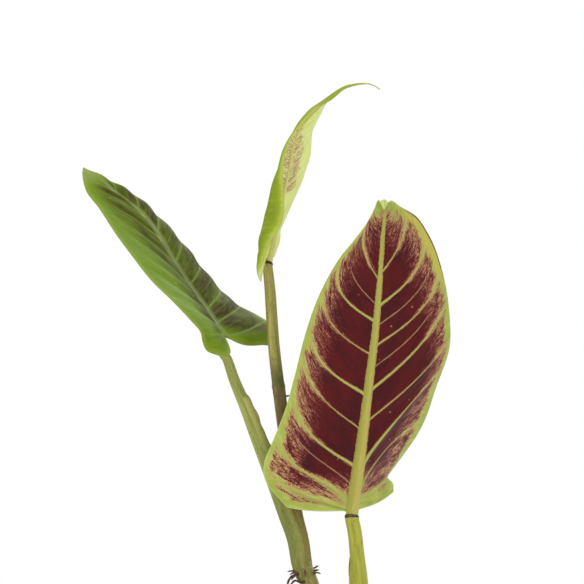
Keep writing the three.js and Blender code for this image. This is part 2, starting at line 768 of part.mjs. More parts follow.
// The mix fills the pot up to a lumpy surface that is highest round the stem and even at the wall.
function soilSolid() {
  const { mouth, ledge, shoulder, floor } = potInside();
  const wallShare = (SOIL_TOP - ledge[1]) / (mouth[1] - ledge[1]);
  const edgeRadius = lerp(ledge[0], mouth[0], wallShare) - SOIL_CLEARANCE;
  const side = [
    [0, POT_FLOOR + GAP],
    [floor[0] - SOIL_CLEARANCE, POT_FLOOR + GAP],
    [shoulder[0] - SOIL_CLEARANCE, shoulder[1]],
    [ledge[0] - SOIL_CLEARANCE, ledge[1]],
  ];
  const top = evenShares(SOIL_RINGS).map((share) => [
    (1 - share) * edgeRadius,
    SOIL_TOP + SOIL_CROWN * (1 - (1 - share) ** 2),
  ]);
  const body = turned([...side, ...top]);
  const lumps = barkLumps();
  const position = body.getAttribute("position");
  for (let i = 0; i < position.count; i++) {
    const [x, y, z] = [position.getX(i), position.getY(i), position.getZ(i)];
    if (z < SOIL_TOP) continue;
    const heights = lumps.map((lump) => {
      const apart = Math.hypot(x - lump.x, y - lump.y) / lump.radius;
      return lump.height * (1 - apart ** 2);
    });
    const fade = clamp((edgeRadius - Math.hypot(x, y)) / SOIL_LUMP_SPACING, 0, 1);
    position.setZ(i, z + fade * Math.max(0, ...heights));
  }
  return solidOf(body);
}

const stem = fused(stalkSolid(STEM), ...ROOTS.map(rootSolid));
const stemSpace = stalkSolid(STEM, null, GAP);
const middleStalk = stalkSolid(STALK_MIDDLE, LEAF_MIDDLE).subtract(stemSpace);
const middleStalkSpace = stalkSolid(STALK_MIDDLE, LEAF_MIDDLE, GAP);
const leftStalk = stalkSolid(STALK_LEFT, LEAF_LEFT).subtract(stemSpace).subtract(middleStalkSpace);
const rightStalk = stalkSolid(STALK_RIGHT, LEAF_RIGHT);
const soil = soilSolid().subtract(stemSpace).subtract(stalkSolid(STALK_RIGHT, LEAF_RIGHT, GAP));

const plant = new THREE.Group();
plant.add(leafMesh("leaf_right", LEAF_RIGHT, maroonLeaf));
plant.add(leafMesh("leaf_left", LEAF_LEFT, greenLeaf));
plant.add(leafMesh("leaf_middle", LEAF_MIDDLE, youngLeaf));
plant.add(piece("petiole_right", geometryOf(rightStalk), stalkGreen));
plant.add(piece("petiole_left", geometryOf(fused(leftStalk)), stalkGreen));
plant.add(piece("petiole_middle", geometryOf(fused(middleStalk)), stalkGreen));
plant.add(piece("stem", geometryOf(stem), stemOlive));

const pottedPlant = new THREE.Group();
pottedPlant.add(plant);
pottedPlant.add(piece("soil", geometryOf(soil), pottingMix));
pottedPlant.add(piece("pot", geometryOf(potSolid()), clay));

export default pottedPlant;
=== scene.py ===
"""Looks of a potted philodendron: three leaves on their stalks, the stem, potting mix and a clay pot.

The sizes in the tables are millimetres and the meshes are metres. +Z is up, +X is to the right of a viewer
who looks along +Y, and the origin is the middle of the pot's foot.
"""

import logging
import math
from dataclasses import dataclass, field
from enum import Enum
from functools import reduce
from typing import Sequence

import bmesh
import bpy
import numpy as np
from mathutils import Matrix, Vector


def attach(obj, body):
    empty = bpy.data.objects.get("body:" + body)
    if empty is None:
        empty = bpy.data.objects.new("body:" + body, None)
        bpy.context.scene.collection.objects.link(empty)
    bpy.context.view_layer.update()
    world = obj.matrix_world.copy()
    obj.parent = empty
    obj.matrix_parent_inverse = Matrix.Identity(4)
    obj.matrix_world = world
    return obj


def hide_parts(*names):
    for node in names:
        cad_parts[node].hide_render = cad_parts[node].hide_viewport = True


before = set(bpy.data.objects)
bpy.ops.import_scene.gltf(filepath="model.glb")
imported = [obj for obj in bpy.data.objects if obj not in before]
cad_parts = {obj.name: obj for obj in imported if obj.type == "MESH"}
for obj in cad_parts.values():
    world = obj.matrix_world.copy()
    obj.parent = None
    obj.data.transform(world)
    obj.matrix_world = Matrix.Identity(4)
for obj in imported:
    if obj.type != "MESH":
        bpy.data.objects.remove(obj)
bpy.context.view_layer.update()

LOG = logging.getLogger("philodendron")
MM = 0.001
FULL_TURN = 2 * math.pi
FAR_AWAY = 99.0
LEAF_PORES = 2600.0
LEAF_GLOW = (0.06, 0.0008)

Array = np.ndarray
Point = tuple[float, ...]
Span = tuple[float, float]
Socket = bpy.types.NodeSocket
Sockets = bpy.types.bpy_prop_collection
Piece = bpy.types.Object
Material = bpy.types.Material
Colour = tuple[float, float, float]


def srgb(red: int, green: int, blue: int) -> Colour:
    """Turns a colour as the eye names it into the shader's linear values.

    Args:
        red: Red from 0 to 255.
        green: Green from 0 to 255.
        blue: Blue from 0 to 255.

    Returns:
        The same colour as three linear values from 0 to 1.
    """

    def linear(value: int) -> float:
        """Gives one channel's linear value."""
        share = value / 255
        return share / 12.92 if share <= 0.04045 else ((share + 0.055) / 1.055) ** 2.4

    return (linear(red), linear(green), linear(blue))


def unit(vectors: Array) -> Array:
    """Scales vectors to length one."""
    lengths = np.linalg.norm(vectors, axis=-1, keepdims=True)
    return vectors / np.maximum(lengths, 1e-12)


def ramp(low: float, high: float, value: Array) -> Array:
    """Rises smoothly from 0 at low to 1 at high.

    Args:
        low: Value that gives 0.
        high: Value that gives 1.
        value: Values to read.

    Returns:
        A share from 0 to 1 for each value.
    """
    share = np.clip((value - low) / (high - low), 0, 1)
    return share * share * (3 - 2 * share)


class Spline:
    """Smooth curve through points, read by the share of its length."""

    STEPS = 24

    def __init__(self, points: Sequence[Point]) -> None:
        """Fits the curve.

        Args:
            points: Points that the curve passes through, of three values each.
        """
        knots = np.asarray(points, float)
        before = 2 * knots[0] - knots[1]
        after = 2 * knots[-1] - knots[-2]
        around = np.vstack([before, knots, after])
        p0, p1, p2, p3 = around[:-3], around[1:-2], around[2:-1], around[3:]
        steps = ((p0, p1), (p1, p2), (p2, p3))
        d0, d1, d2 = (np.linalg.norm(b - a, axis=1, keepdims=True) ** 0.5 for a, b in steps)
        leave = ((p1 - p0) / d0 - (p2 - p0) / (d0 + d1) + (p2 - p1) / d1) * d1
        arrive = ((p2 - p1) / d1 - (p3 - p1) / (d1 + d2) + (p3 - p2) / d2) * d1
        t = (np.arange(self.STEPS) / self.STEPS)[None, :, None]
        p1, p2, leave, arrive = (part[:, None] for part in (p1, p2, leave, arrive))
        bend = -3 * p1 + 3 * p2 - 2 * leave - arrive
        twist = 2 * p1 - 2 * p2 + leave + arrive
        stretch = p1 + leave * t + bend * t**2 + twist * t**3
        self.points = np.vstack([stretch.reshape(-1, 3), knots[-1]])
        steps = np.linalg.norm(np.diff(self.points, axis=0), axis=1)
        self.reached = np.concatenate([[0.0], np.cumsum(steps)])
        self.length = float(self.reached[-1])

    def at(self, shares: Array) -> Array:
        """Gives the points at shares of the length."""
        wanted = np.clip(shares, 0, 1) * self.length
        return np.stack([np.interp(wanted, self.reached, self.points[:, axis]) for axis in range(3)], -1)

    def heading(self, shares: Array) -> Array:
        """Gives the directions at shares of the length."""
        reach = 0.6 / self.length
        return unit(self.at(np.clip(shares + reach, 0, 1)) - self.at(np.clip(shares - reach, 0, 1)))

    def knot_place(self, shares: Array) -> Array:
        """Gives how many knots lie before each share, with the part of the next stretch."""
        wanted = np.clip(shares, 0, 1) * self.length
        return np.interp(wanted, self.reached, np.arange(len(self.points)) / self.STEPS)


def distance_to_line(points: Array, line: Array) -> tuple[Array, Array]:
    """Measures how far points lie from a line of straight steps.

    Args:
        points: Points, one a row.
        line: The line's points, one a row.

    Returns:
        The distance of each point, and the share of the line at which its nearest place lies.
    """
    start, step = line[:-1], np.diff(line, axis=0)
    squares = np.maximum((step**2).sum(-1), 1e-9)
    apart = points[:, None] - start[None]
    part = np.clip((apart * step).sum(-1) / squares, 0, 1)
    gaps = np.linalg.norm(apart - part[..., None] * step, axis=-1)
    nearest = gaps.argmin(1)
    rows = np.arange(len(points))
    return gaps[rows, nearest], (nearest + part[rows, nearest]) / len(step)


def add_object(name: str, data: bpy.types.ID) -> Piece:
    """Places an object in the scene.

    Args:
        name: Name of the object.
        data: Its mesh, light or camera.

    Returns:
        The object.
    """
    placed = bpy.data.objects.new(name, data)
    bpy.context.scene.collection.objects.link(placed)
    return placed


def add_shape(name: str, shape: bmesh.types.BMesh) -> Piece:
    """Places a shape in the scene and frees it.

    Args:
        name: Name of the object.
        shape: The shape.

    Returns:
        The object.
    """
    mesh = bpy.data.meshes.new(name)
    shape.to_mesh(mesh)
    shape.free()
    return add_object(name, mesh)


class Surface:
    """Patches of vertices and faces, with values for the shaders, that become one mesh."""

    def __init__(self) -> None:
        """Starts without patches."""
        self.patches: list[tuple[Array, Array, int, dict[str, Array]]] = []

    def add(self, points: Array, faces: Array, slot: int = 0, **values: Array) -> None:
        """Adds one patch.

        Args:
            points: Vertices in millimetres.
            faces: Indices of the patch's own vertices, three or four a row.
            slot: Which of the object's materials the patch takes.
            values: One number for each vertex under each name.
        """
        self.patches.append((points.reshape(-1, 3), faces, slot, values))

    def build(self, name: str, materials: Sequence[Material]) -> Piece:
        """Makes the object.

        Args:
            name: Name of the piece.
            materials: Materials in the order of the patches' slots.

        Returns:
            The smooth-shaded object, with its faces turned outwards.
        """
        names = sorted({key for patch in self.patches for key in patch[3]})
        points, faces, slots, offset = [], [], [], 0
        columns: dict[str, list[Array]] = {key: [] for key in names}
        for patch_points, patch_faces, slot, values in self.patches:
            points.append(patch_points)
            faces.extend((patch_faces + offset).tolist())
            slots.extend([slot] * len(patch_faces))
            for key in names:
                given = values.get(key, np.zeros(len(patch_points)))
                columns[key].append(np.broadcast_to(np.asarray(given, float).ravel(), len(patch_points)))
            offset += len(patch_points)
        mesh = bpy.data.meshes.new(name)
        mesh.from_pydata((np.vstack(points) * MM).tolist(), [], faces)
        mesh.polygons.foreach_set("material_index", slots)
        for key in names:
            layer = mesh.attributes.new(key, "FLOAT", "POINT")
            layer.data.foreach_set("value", np.concatenate(columns[key]).astype(np.float32))
        for material in materials:
            mesh.materials.append(material)
        shape = bmesh.new()
        shape.from_mesh(mesh)
        bmesh.ops.remove_doubles(shape, verts=shape.verts, dist=2e-6)
        bmesh.ops.dissolve_degenerate(shape, edges=shape.edges, dist=1e-6)
        bmesh.ops.recalc_face_normals(shape, faces=shape.faces)
        shape.to_mesh(mesh)
        shape.free()
        mesh.polygons.foreach_set("use_smooth", [True] * len(mesh.polygons))
        return add_object(name, mesh)


def grid_faces(rows: int, columns: int, closed: bool = False) -> Array:
    """Lists the quads of a grid of vertices.

    Args:
        rows: Number of rows.
        columns: Number of vertices in a row.
        closed: Whether the last column joins the first.

    Returns:
        Four indices a row.
    """
    last = columns if closed else columns - 1
    row, column = np.meshgrid(np.arange(rows - 1), np.arange(last), indexing="ij")
    after = (column + 1) % columns
    corners = (row * columns + column, row * columns + after)
    above = ((row + 1) * columns + after, (row + 1) * columns + column)
    return np.stack([*corners, *above], -1).reshape(-1, 4)


def capped(rings: Array) -> tuple[Array, Array]:
    """Closes a tube of rings with a small round cap at both ends.

    Args:
        rings: Points by ring and side.

    Returns:
        The vertices and the faces of the closed tube.
    """
    count, sides = rings.shape[:2]
    points = np.vstack([rings.reshape(-1, 3), rings[0].mean(0), rings[-1].mean(0)])
    faces = grid_faces(count, sides, closed=True)
    side = np.arange(sides)
    after = (side + 1) % sides
    first = np.stack([after, side, np.full(sides, count * sides), np.full(sides, count * sides)], -1)
    start = (count - 1) * sides
    last = np.stack([start + side, start + after, *[np.full(sides, count * sides + 1)] * 2], -1)
    return points, np.vstack([faces, first, last])


class Tube:
    """Rings round a route, for stalks, midribs and roots."""

    def __init__(self, spline: Spline, shares: Array, facing: Point, sides: int) -> None:
        """Places the rings.

        Args:
            spline: The tube's route.
            shares: Shares of the length at which the rings stand.
            facing: Direction from which the angle round the tube is counted.
            sides: Points of a ring.
        """
        ahead = spline.heading(shares)
        wanted = np.broadcast_to(np.asarray(facing, float), ahead.shape)
        self.middle = spline.at(shares)
        self.right = unit(wanted - (wanted * ahead).sum(-1, keepdims=True) * ahead)
        self.up = np.cross(ahead, self.right)
        self.angle = np.linspace(0, FULL_TURN, sides, endpoint=False)
        self.reached = shares * spline.length
        self.length = spline.length

    def closed(self, reach: Array) -> tuple[Array, Array]:
        """Gives the vertices and the faces of the closed tube.

        Args:
            reach: Radius by ring and side.

        Returns:
            The vertices, and the indices of the faces.
        """
        cos, sin = np.cos(self.angle)[None, :, None], np.sin(self.angle)[None, :, None]
        out = cos * self.right[:, None] + sin * self.up[:, None]
        return capped(self.middle[:, None] + reach[..., None] * out)

    def values(self) -> dict[str, Array]:
        """Gives the place round and along the closed tube for the shaders.

        Returns:
            One number for each vertex under each name.
        """
        full = (len(self.middle), len(self.angle))
        places = {"around_cos": np.cos(self.angle), "around_sin": np.sin(self.angle)}
        values = {key: np.append(np.tile(place, full[0]), [0, 0]) for key, place in places.items()}
        values["along"] = np.append(np.repeat(self.reached, full[1]), [0, self.length])
        return values


class NodeGraph:
    """Adds shader nodes to a tree and links them."""

    def __init__(self, tree: bpy.types.NodeTree) -> None:
        """Takes a node tree and empties it."""
        self.tree = tree
        self.tree.nodes.clear()

    def add(self, kind: str, settings: dict | None = None, **inputs: object) -> bpy.types.Node:
        """Adds a node.

        Args:
            kind: Blender's name of the node type, without the leading "ShaderNode".
            settings: Properties of the node.
            inputs: Sockets or values by the input's name, with underscores for spaces.

        Returns:
            The node.
        """
        node = self.tree.nodes.new("ShaderNode" + kind)
        for key, value in (settings or {}).items():
            setattr(node, key, value)
        for key, value in inputs.items():
            self.feed(node.inputs[key.replace("_", " ")], value)
        return node

    def feed(self, socket: Socket, value: object) -> None:
        """Links a socket to an input, or sets the input's own value.

        Args:
            socket: The input.
            value: A socket, a colour, a vector or a number.
        """
        if isinstance(value, bpy.types.NodeSocket):
            self.tree.links.new(value, socket)
        elif isinstance(value, tuple) and socket.type == "RGBA":
            socket.default_value = (*value[:3], 1.0)
        else:
            socket.default_value = value

    def math(self, operation: str, *terms: object, clamp: bool = False) -> Socket:
        """Adds a Math node.

        Args:
            operation: Name of the operation, such as ADD.
            terms: Sockets or numbers.
            clamp: Whether the result stays from 0 to 1.

        Returns:
            The result.
        """
        node = self.add("Math", {"operation": operation, "use_clamp": clamp})
        for place, term in enumerate(terms):
            self.feed(node.inputs[place], term)
        return node.outputs[0]

    def plus(self, first: object, second: object) -> Socket:
        """Adds two values."""
        return self.math("ADD", first, second)

    def times(self, first: object, second: object) -> Socket:
        """Multiplies two values."""
        return self.math("MULTIPLY", first, second)

    def times_plus(self, first: object, second: object, third: object) -> Socket:
        """Multiplies two values and adds a third."""
        return self.math("MULTIPLY_ADD", first, second, third)

    def most(self, *values: object) -> Socket:
        """Gives the largest of some values."""
        return reduce(lambda first, second: self.math("MAXIMUM", first, second), values)

    def smooth(self, value: object, low: object, high: object) -> Socket:
        """Rises smoothly from 0 at low to 1 at high, or falls where low is the larger."""
        settings = {"interpolation_type": "SMOOTHSTEP"}
        return self.add("MapRange", settings, Value=value, From_Min=low, From_Max=high).outputs["Result"]

    def scaled(self, value: object, low: object, high: object) -> Socket:
        """Spreads a value from 0 to 1 over low to high."""
        return self.add("MapRange", Value=value, To_Min=low, To_Max=high).outputs["Result"]

    def mix(self, factor: object, first: object, second: object) -> Socket:
        """Mixes two colours.

        Args:
            factor: Share of the second colour.
            first: The first colour.
            second: The second colour.

        Returns:
            The mixed colour.
        """
        node = self.add("Mix", {"data_type": "RGBA"})
        for place, value in ((0, factor), (6, first), (7, second)):
            self.feed(node.inputs[place], value)
        return node.outputs[2]

    def over(self, colour: object, tint: object, mask: object, share: object) -> Socket:
        """Lays a tint over a colour where a mask is, at a share of its strength."""
        return self.mix(self.times(mask, share), colour, tint)

    def value(self, name: str) -> Socket:
        """Reads a number that the mesh holds for each vertex."""
        return self.add("Attribute", {"attribute_name": name}).outputs["Fac"]

    def place(self) -> Socket:
        """Gives the position on the object, in metres."""
        return self.add("TexCoord").outputs["Object"]

    def squeezed(self, place: Socket, scale: Point) -> Socket:
        """Stretches or squeezes positions along the three axes."""
        return self.add("Mapping", Vector=place, Scale=scale).outputs[0]

    def vector(self, x: object, y: object, z: object) -> Socket:
        """Joins three numbers to a vector."""
        return self.add("CombineXYZ", X=x, Y=y, Z=z).outputs[0]

    def noise(self, place: Socket, scale: object, detail: float, rough: object = 0.5) -> Socket:
        """Gives soft noise from 0 to 1 about a middle of one half.

        Args:
            place: Position that the noise is read at.
            scale: Waves to a unit of the position.
            detail: Octaves.
            rough: Share of each finer octave.

        Returns:
            The noise.
        """
        node = self.add("TexNoise", Vector=place, Scale=scale, Detail=detail, Roughness=rough)
        return node.outputs["Fac"]

    def group(self, tree: bpy.types.NodeTree, **inputs: object) -> bpy.types.Node:
        """Places a node group with its own values."""
        return self.add("Group", {"node_tree": tree}, **inputs)


class Effect(NodeGraph):
    """Shader node group with named inputs and outputs."""

    def __init__(self, name: str, inputs: dict[str, float], outputs: Sequence[str]) -> None:
        """Opens the group.

        Args:
            name: Name of the group.
            inputs: Names of the inputs with their usual values. A name that ends in Place is a vector.
            outputs: Names of the outputs, all numbers.
        """
        super().__init__(bpy.data.node_groups.new(name, "ShaderNodeTree"))
        for key, value in inputs.items():
            kind = "NodeSocketVector" if key.endswith("Place") else "NodeSocketFloat"
            socket = self.tree.interface.new_socket(key, in_out="INPUT", socket_type=kind)
            if kind == "NodeSocketFloat":
                socket.default_value = value
        for key in outputs:
            self.tree.interface.new_socket(key, in_out="OUTPUT", socket_type="NodeSocketFloat")
        self.given = self.tree.nodes.new("NodeGroupInput").outputs
        self.result = self.tree.nodes.new("NodeGroupOutput").inputs


class Effects:
    """The node groups that the finishes share."""

    def __init__(self) -> None:
        """Builds every group once."""
        self._build_streaks()
        self._build_flecks()
        self._build_fibres()
        self._build_grain()

    def _build_streaks(self) -> None:
        """Builds streaks along a blade's rows, in waves to the millimetre, from broad to hair-fine."""
        layers = {
            "Broad": (0.2, 0.07, 2.0, 0.55),
            "Coarse": (0.45, 0.1, 2.0, 0.6),
            "Fine": (1.4, 0.22, 3.0, 0.7),
            "Grit": (2.0, 0.9, 2.0, 0.6),
            "Cloud": (0.07, 0.05, 3.0, 0.55),
        }
        effect = Effect("row streaks", {"Across": 0, "Along": 0, "Shift": 0}, tuple(layers))
        given = effect.given
        for key, (across, along, detail, rough) in layers.items():
            first, second = effect.times(given["Across"], across), effect.times(given["Along"], along)
            noise = effect.noise(effect.vector(first, second, given["Shift"]), 1.0, detail, rough)
            effect.feed(effect.result[key], noise)
        self.streaks = effect.tree

    def _build_flecks(self) -> None:
        """Builds small round flecks scattered over a surface."""
        effect = Effect("flecks", {"Place": 0, "Scale": 100, "Size": 0.2, "Share": 0.3}, ("Mask",))
        given = effect.given
        cells = effect.add("TexVoronoi", Vector=given["Place"], Scale=given["Scale"])
        dot = effect.smooth(cells.outputs["Distance"], given["Size"], effect.times(given["Size"], 0.5))
        drawn = effect.add("SeparateColor", Color=cells.outputs["Color"]).outputs[0]
        chosen = effect.math("LESS_THAN", drawn, given["Share"])
        effect.feed(effect.result["Mask"], effect.times(dot, chosen))
        self.flecks = effect.tree

    def _build_fibres(self) -> None:
        """Builds lengthwise streaks round a stalk, without a seam."""
        layers = {"Streak": (1.0, 0.05, 2.0), "Fine": (3.2, 0.25, 2.0), "Cloud": (0.25, 0.045, 3.0)}
        effect = Effect("fibres", {"Cos": 1, "Sin": 0, "Along": 0, "Count": 5, "Shift": 0}, tuple(layers))
        given = effect.given
        for key, (count, stretch, detail) in layers.items():
            around = effect.times(given["Count"], count)
            first = effect.times(given["Cos"], around)
            second = effect.times_plus(given["Sin"], around, given["Shift"])
            place = effect.vector(first, second, effect.times(given["Along"], stretch))
            effect.feed(effect.result[key], effect.noise(place, 1.0, detail, 0.6))
        self.fibres = effect.tree

    def _build_grain(self) -> None:
        """Builds fine uneven grain for bumps, and wide patches for small changes of tone."""
        effect = Effect("grain", {"Place": 0, "Scale": 400, "Roughness": 0.6}, ("Grain", "Patch"))
        given = effect.given
        grain = effect.noise(given["Place"], given["Scale"], 4.0, given["Roughness"])
        effect.feed(effect.result["Grain"], grain)
        patch = effect.noise(given["Place"], effect.times(given["Scale"], 0.08), 3.0)
        effect.feed(effect.result["Patch"], patch)
        self.grain = effect.tree


class Coat(NodeGraph):
    """A material's graph, with its Principled shader and the shared node groups."""

    def __init__(self, name: str, effects: Effects) -> None:
        """Opens the material.

        Args:
            name: Name of the material.
            effects: Shared node groups.
        """
        self.material = bpy.data.materials.new(name)
        self.material.use_nodes = True
        super().__init__(self.material.node_tree)
        self.effects = effects
        self.shader = self.add("BsdfPrincipled")
        self.add("OutputMaterial", Surface=self.shader.outputs[0])

    def grain(self, scale: float, roughness: float = 0.6) -> Sockets:
        """Gives grain and patches, with so many waves of grain to the metre."""
        return self.group(self.effects.grain, Place=self.place(), Scale=scale, Roughness=roughness).outputs

    def flecks(self, place: Socket, scale: float, size: float, share: float) -> Socket:
        """Gives the mask of small flecks, so many cells to the metre, drawn in a share of them."""
        node = self.group(self.effects.flecks, Place=place, Scale=scale, Size=size, Share=share)
        return node.outputs["Mask"]

    def fibres(self, count: float, shift: float) -> Sockets:
        """Gives lengthwise streaks, with so many waves across the stalk."""
        names = {"Cos": "around_cos", "Sin": "around_sin", "Along": "along"}
        given = {key: self.value(name) for key, name in names.items()}
        return self.group(self.effects.fibres, **given, Count=count, Shift=shift).outputs

    def close(
        self,
        colour: Socket,
        roughness: Socket,
        relief: Socket,
        bump: Span,
        specular: float = 0.5,
        glow: Span = (0.0, 0.05),
    ) -> None:
        """Feeds the shader.

        Args:
            colour: The base colour.
            roughness: The roughness.
            relief: Height that the bump follows.
            bump: Strength of the bump, and its depth in metres.
            specular: Strength of the sheen.
            glow: Share of the light that goes under the skin, and how far, in metres.
        """
        inputs = self.shader.inputs
        self.feed(inputs["Base Color"], colour)
        self.feed(inputs["Roughness"], roughness)
        raised = self.add("Bump", Strength=bump[0], Distance=bump[1], Height=relief)
        self.feed(inputs["Normal"], raised.outputs[0])
        inputs["Specular IOR Level"].default_value = specular
        inputs["Subsurface Weight"].default_value = glow[0]
        inputs["Subsurface Scale"].default_value = glow[1]


class BladeCoat(Coat):
    """A blade's material, with the distances that its mesh holds, in millimetres, and its streaks."""

    def __init__(self, name: str, effects: Effects, shift: float) -> None:
        """Opens the material and reads the mesh.

        Args:
            name: Name of the material.
            effects: Shared node groups.
            shift: Sets the streaks of one face apart from those of another.
        """
        super().__init__(name, effects)
        self.vein_edge = self.value("vein_edge")
        self.thin_edge = self.value("thin_edge")
        self.margin_gap = self.value("margin_gap")
        self.rib_gap = self.value("rib_gap")
        self.tip_gap = self.value("tip_gap")
        self.across = self.value("across")
        along = self.value("along")
        streaks = self.group(effects.streaks, Across=self.across, Along=along, Shift=shift).outputs
        self.broad, self.coarse, self.fine = streaks["Broad"], streaks["Coarse"], streaks["Fine"]
        self.grit, self.cloud = streaks["Grit"], streaks["Cloud"]

    def skin(self, colour: Socket, roughness: Span, pores: float, bump: Span, specular: float) -> None:
        """Feeds the shader with a leaf's fine pores.

        Args:
            colour: The base colour.
            roughness: Roughness of the smoothest and of the roughest places.
            pores: How deep the pores are against the streaks.
            bump: Strength of the bump, and its depth in metres.
            specular: Strength of the sheen.
        """
        grain = self.grain(LEAF_PORES)["Grain"]
        rough = self.scaled(self.plus(self.cloud, self.times(grain, 0.2)), *roughness)
        self.close(colour, rough, self.times_plus(grain, pores, self.fine), bump, specular, LEAF_GLOW)


@dataclass(frozen=True)
class Finish:
    """A finish of the plant or of its pot."""

    name: str

    def build(self, effects: Effects) -> Material:
        """Builds the material.

        Args:
            effects: Shared node groups.

        Returns:
            The material.
        """
        coat = self._open(effects)
        self._dress(coat)
        return coat.material

    def _open(self, effects: Effects) -> Coat:
        """Opens the material."""
        return Coat(self.name, effects)

    def _dress(self, coat: Coat) -> None:
        """Feeds the material's shader, each finish in its own way."""
        raise NotImplementedError


@dataclass(frozen=True)
class BladeFinish(Finish):
    """A finish of one side of a blade, whose shift sets its streaks apart from the others'."""

    shift: float = 0.0

    def _open(self, effects: Effects) -> BladeCoat:
        """Opens the material and reads the blade's mesh."""
        return BladeCoat(self.name, effects, self.shift)


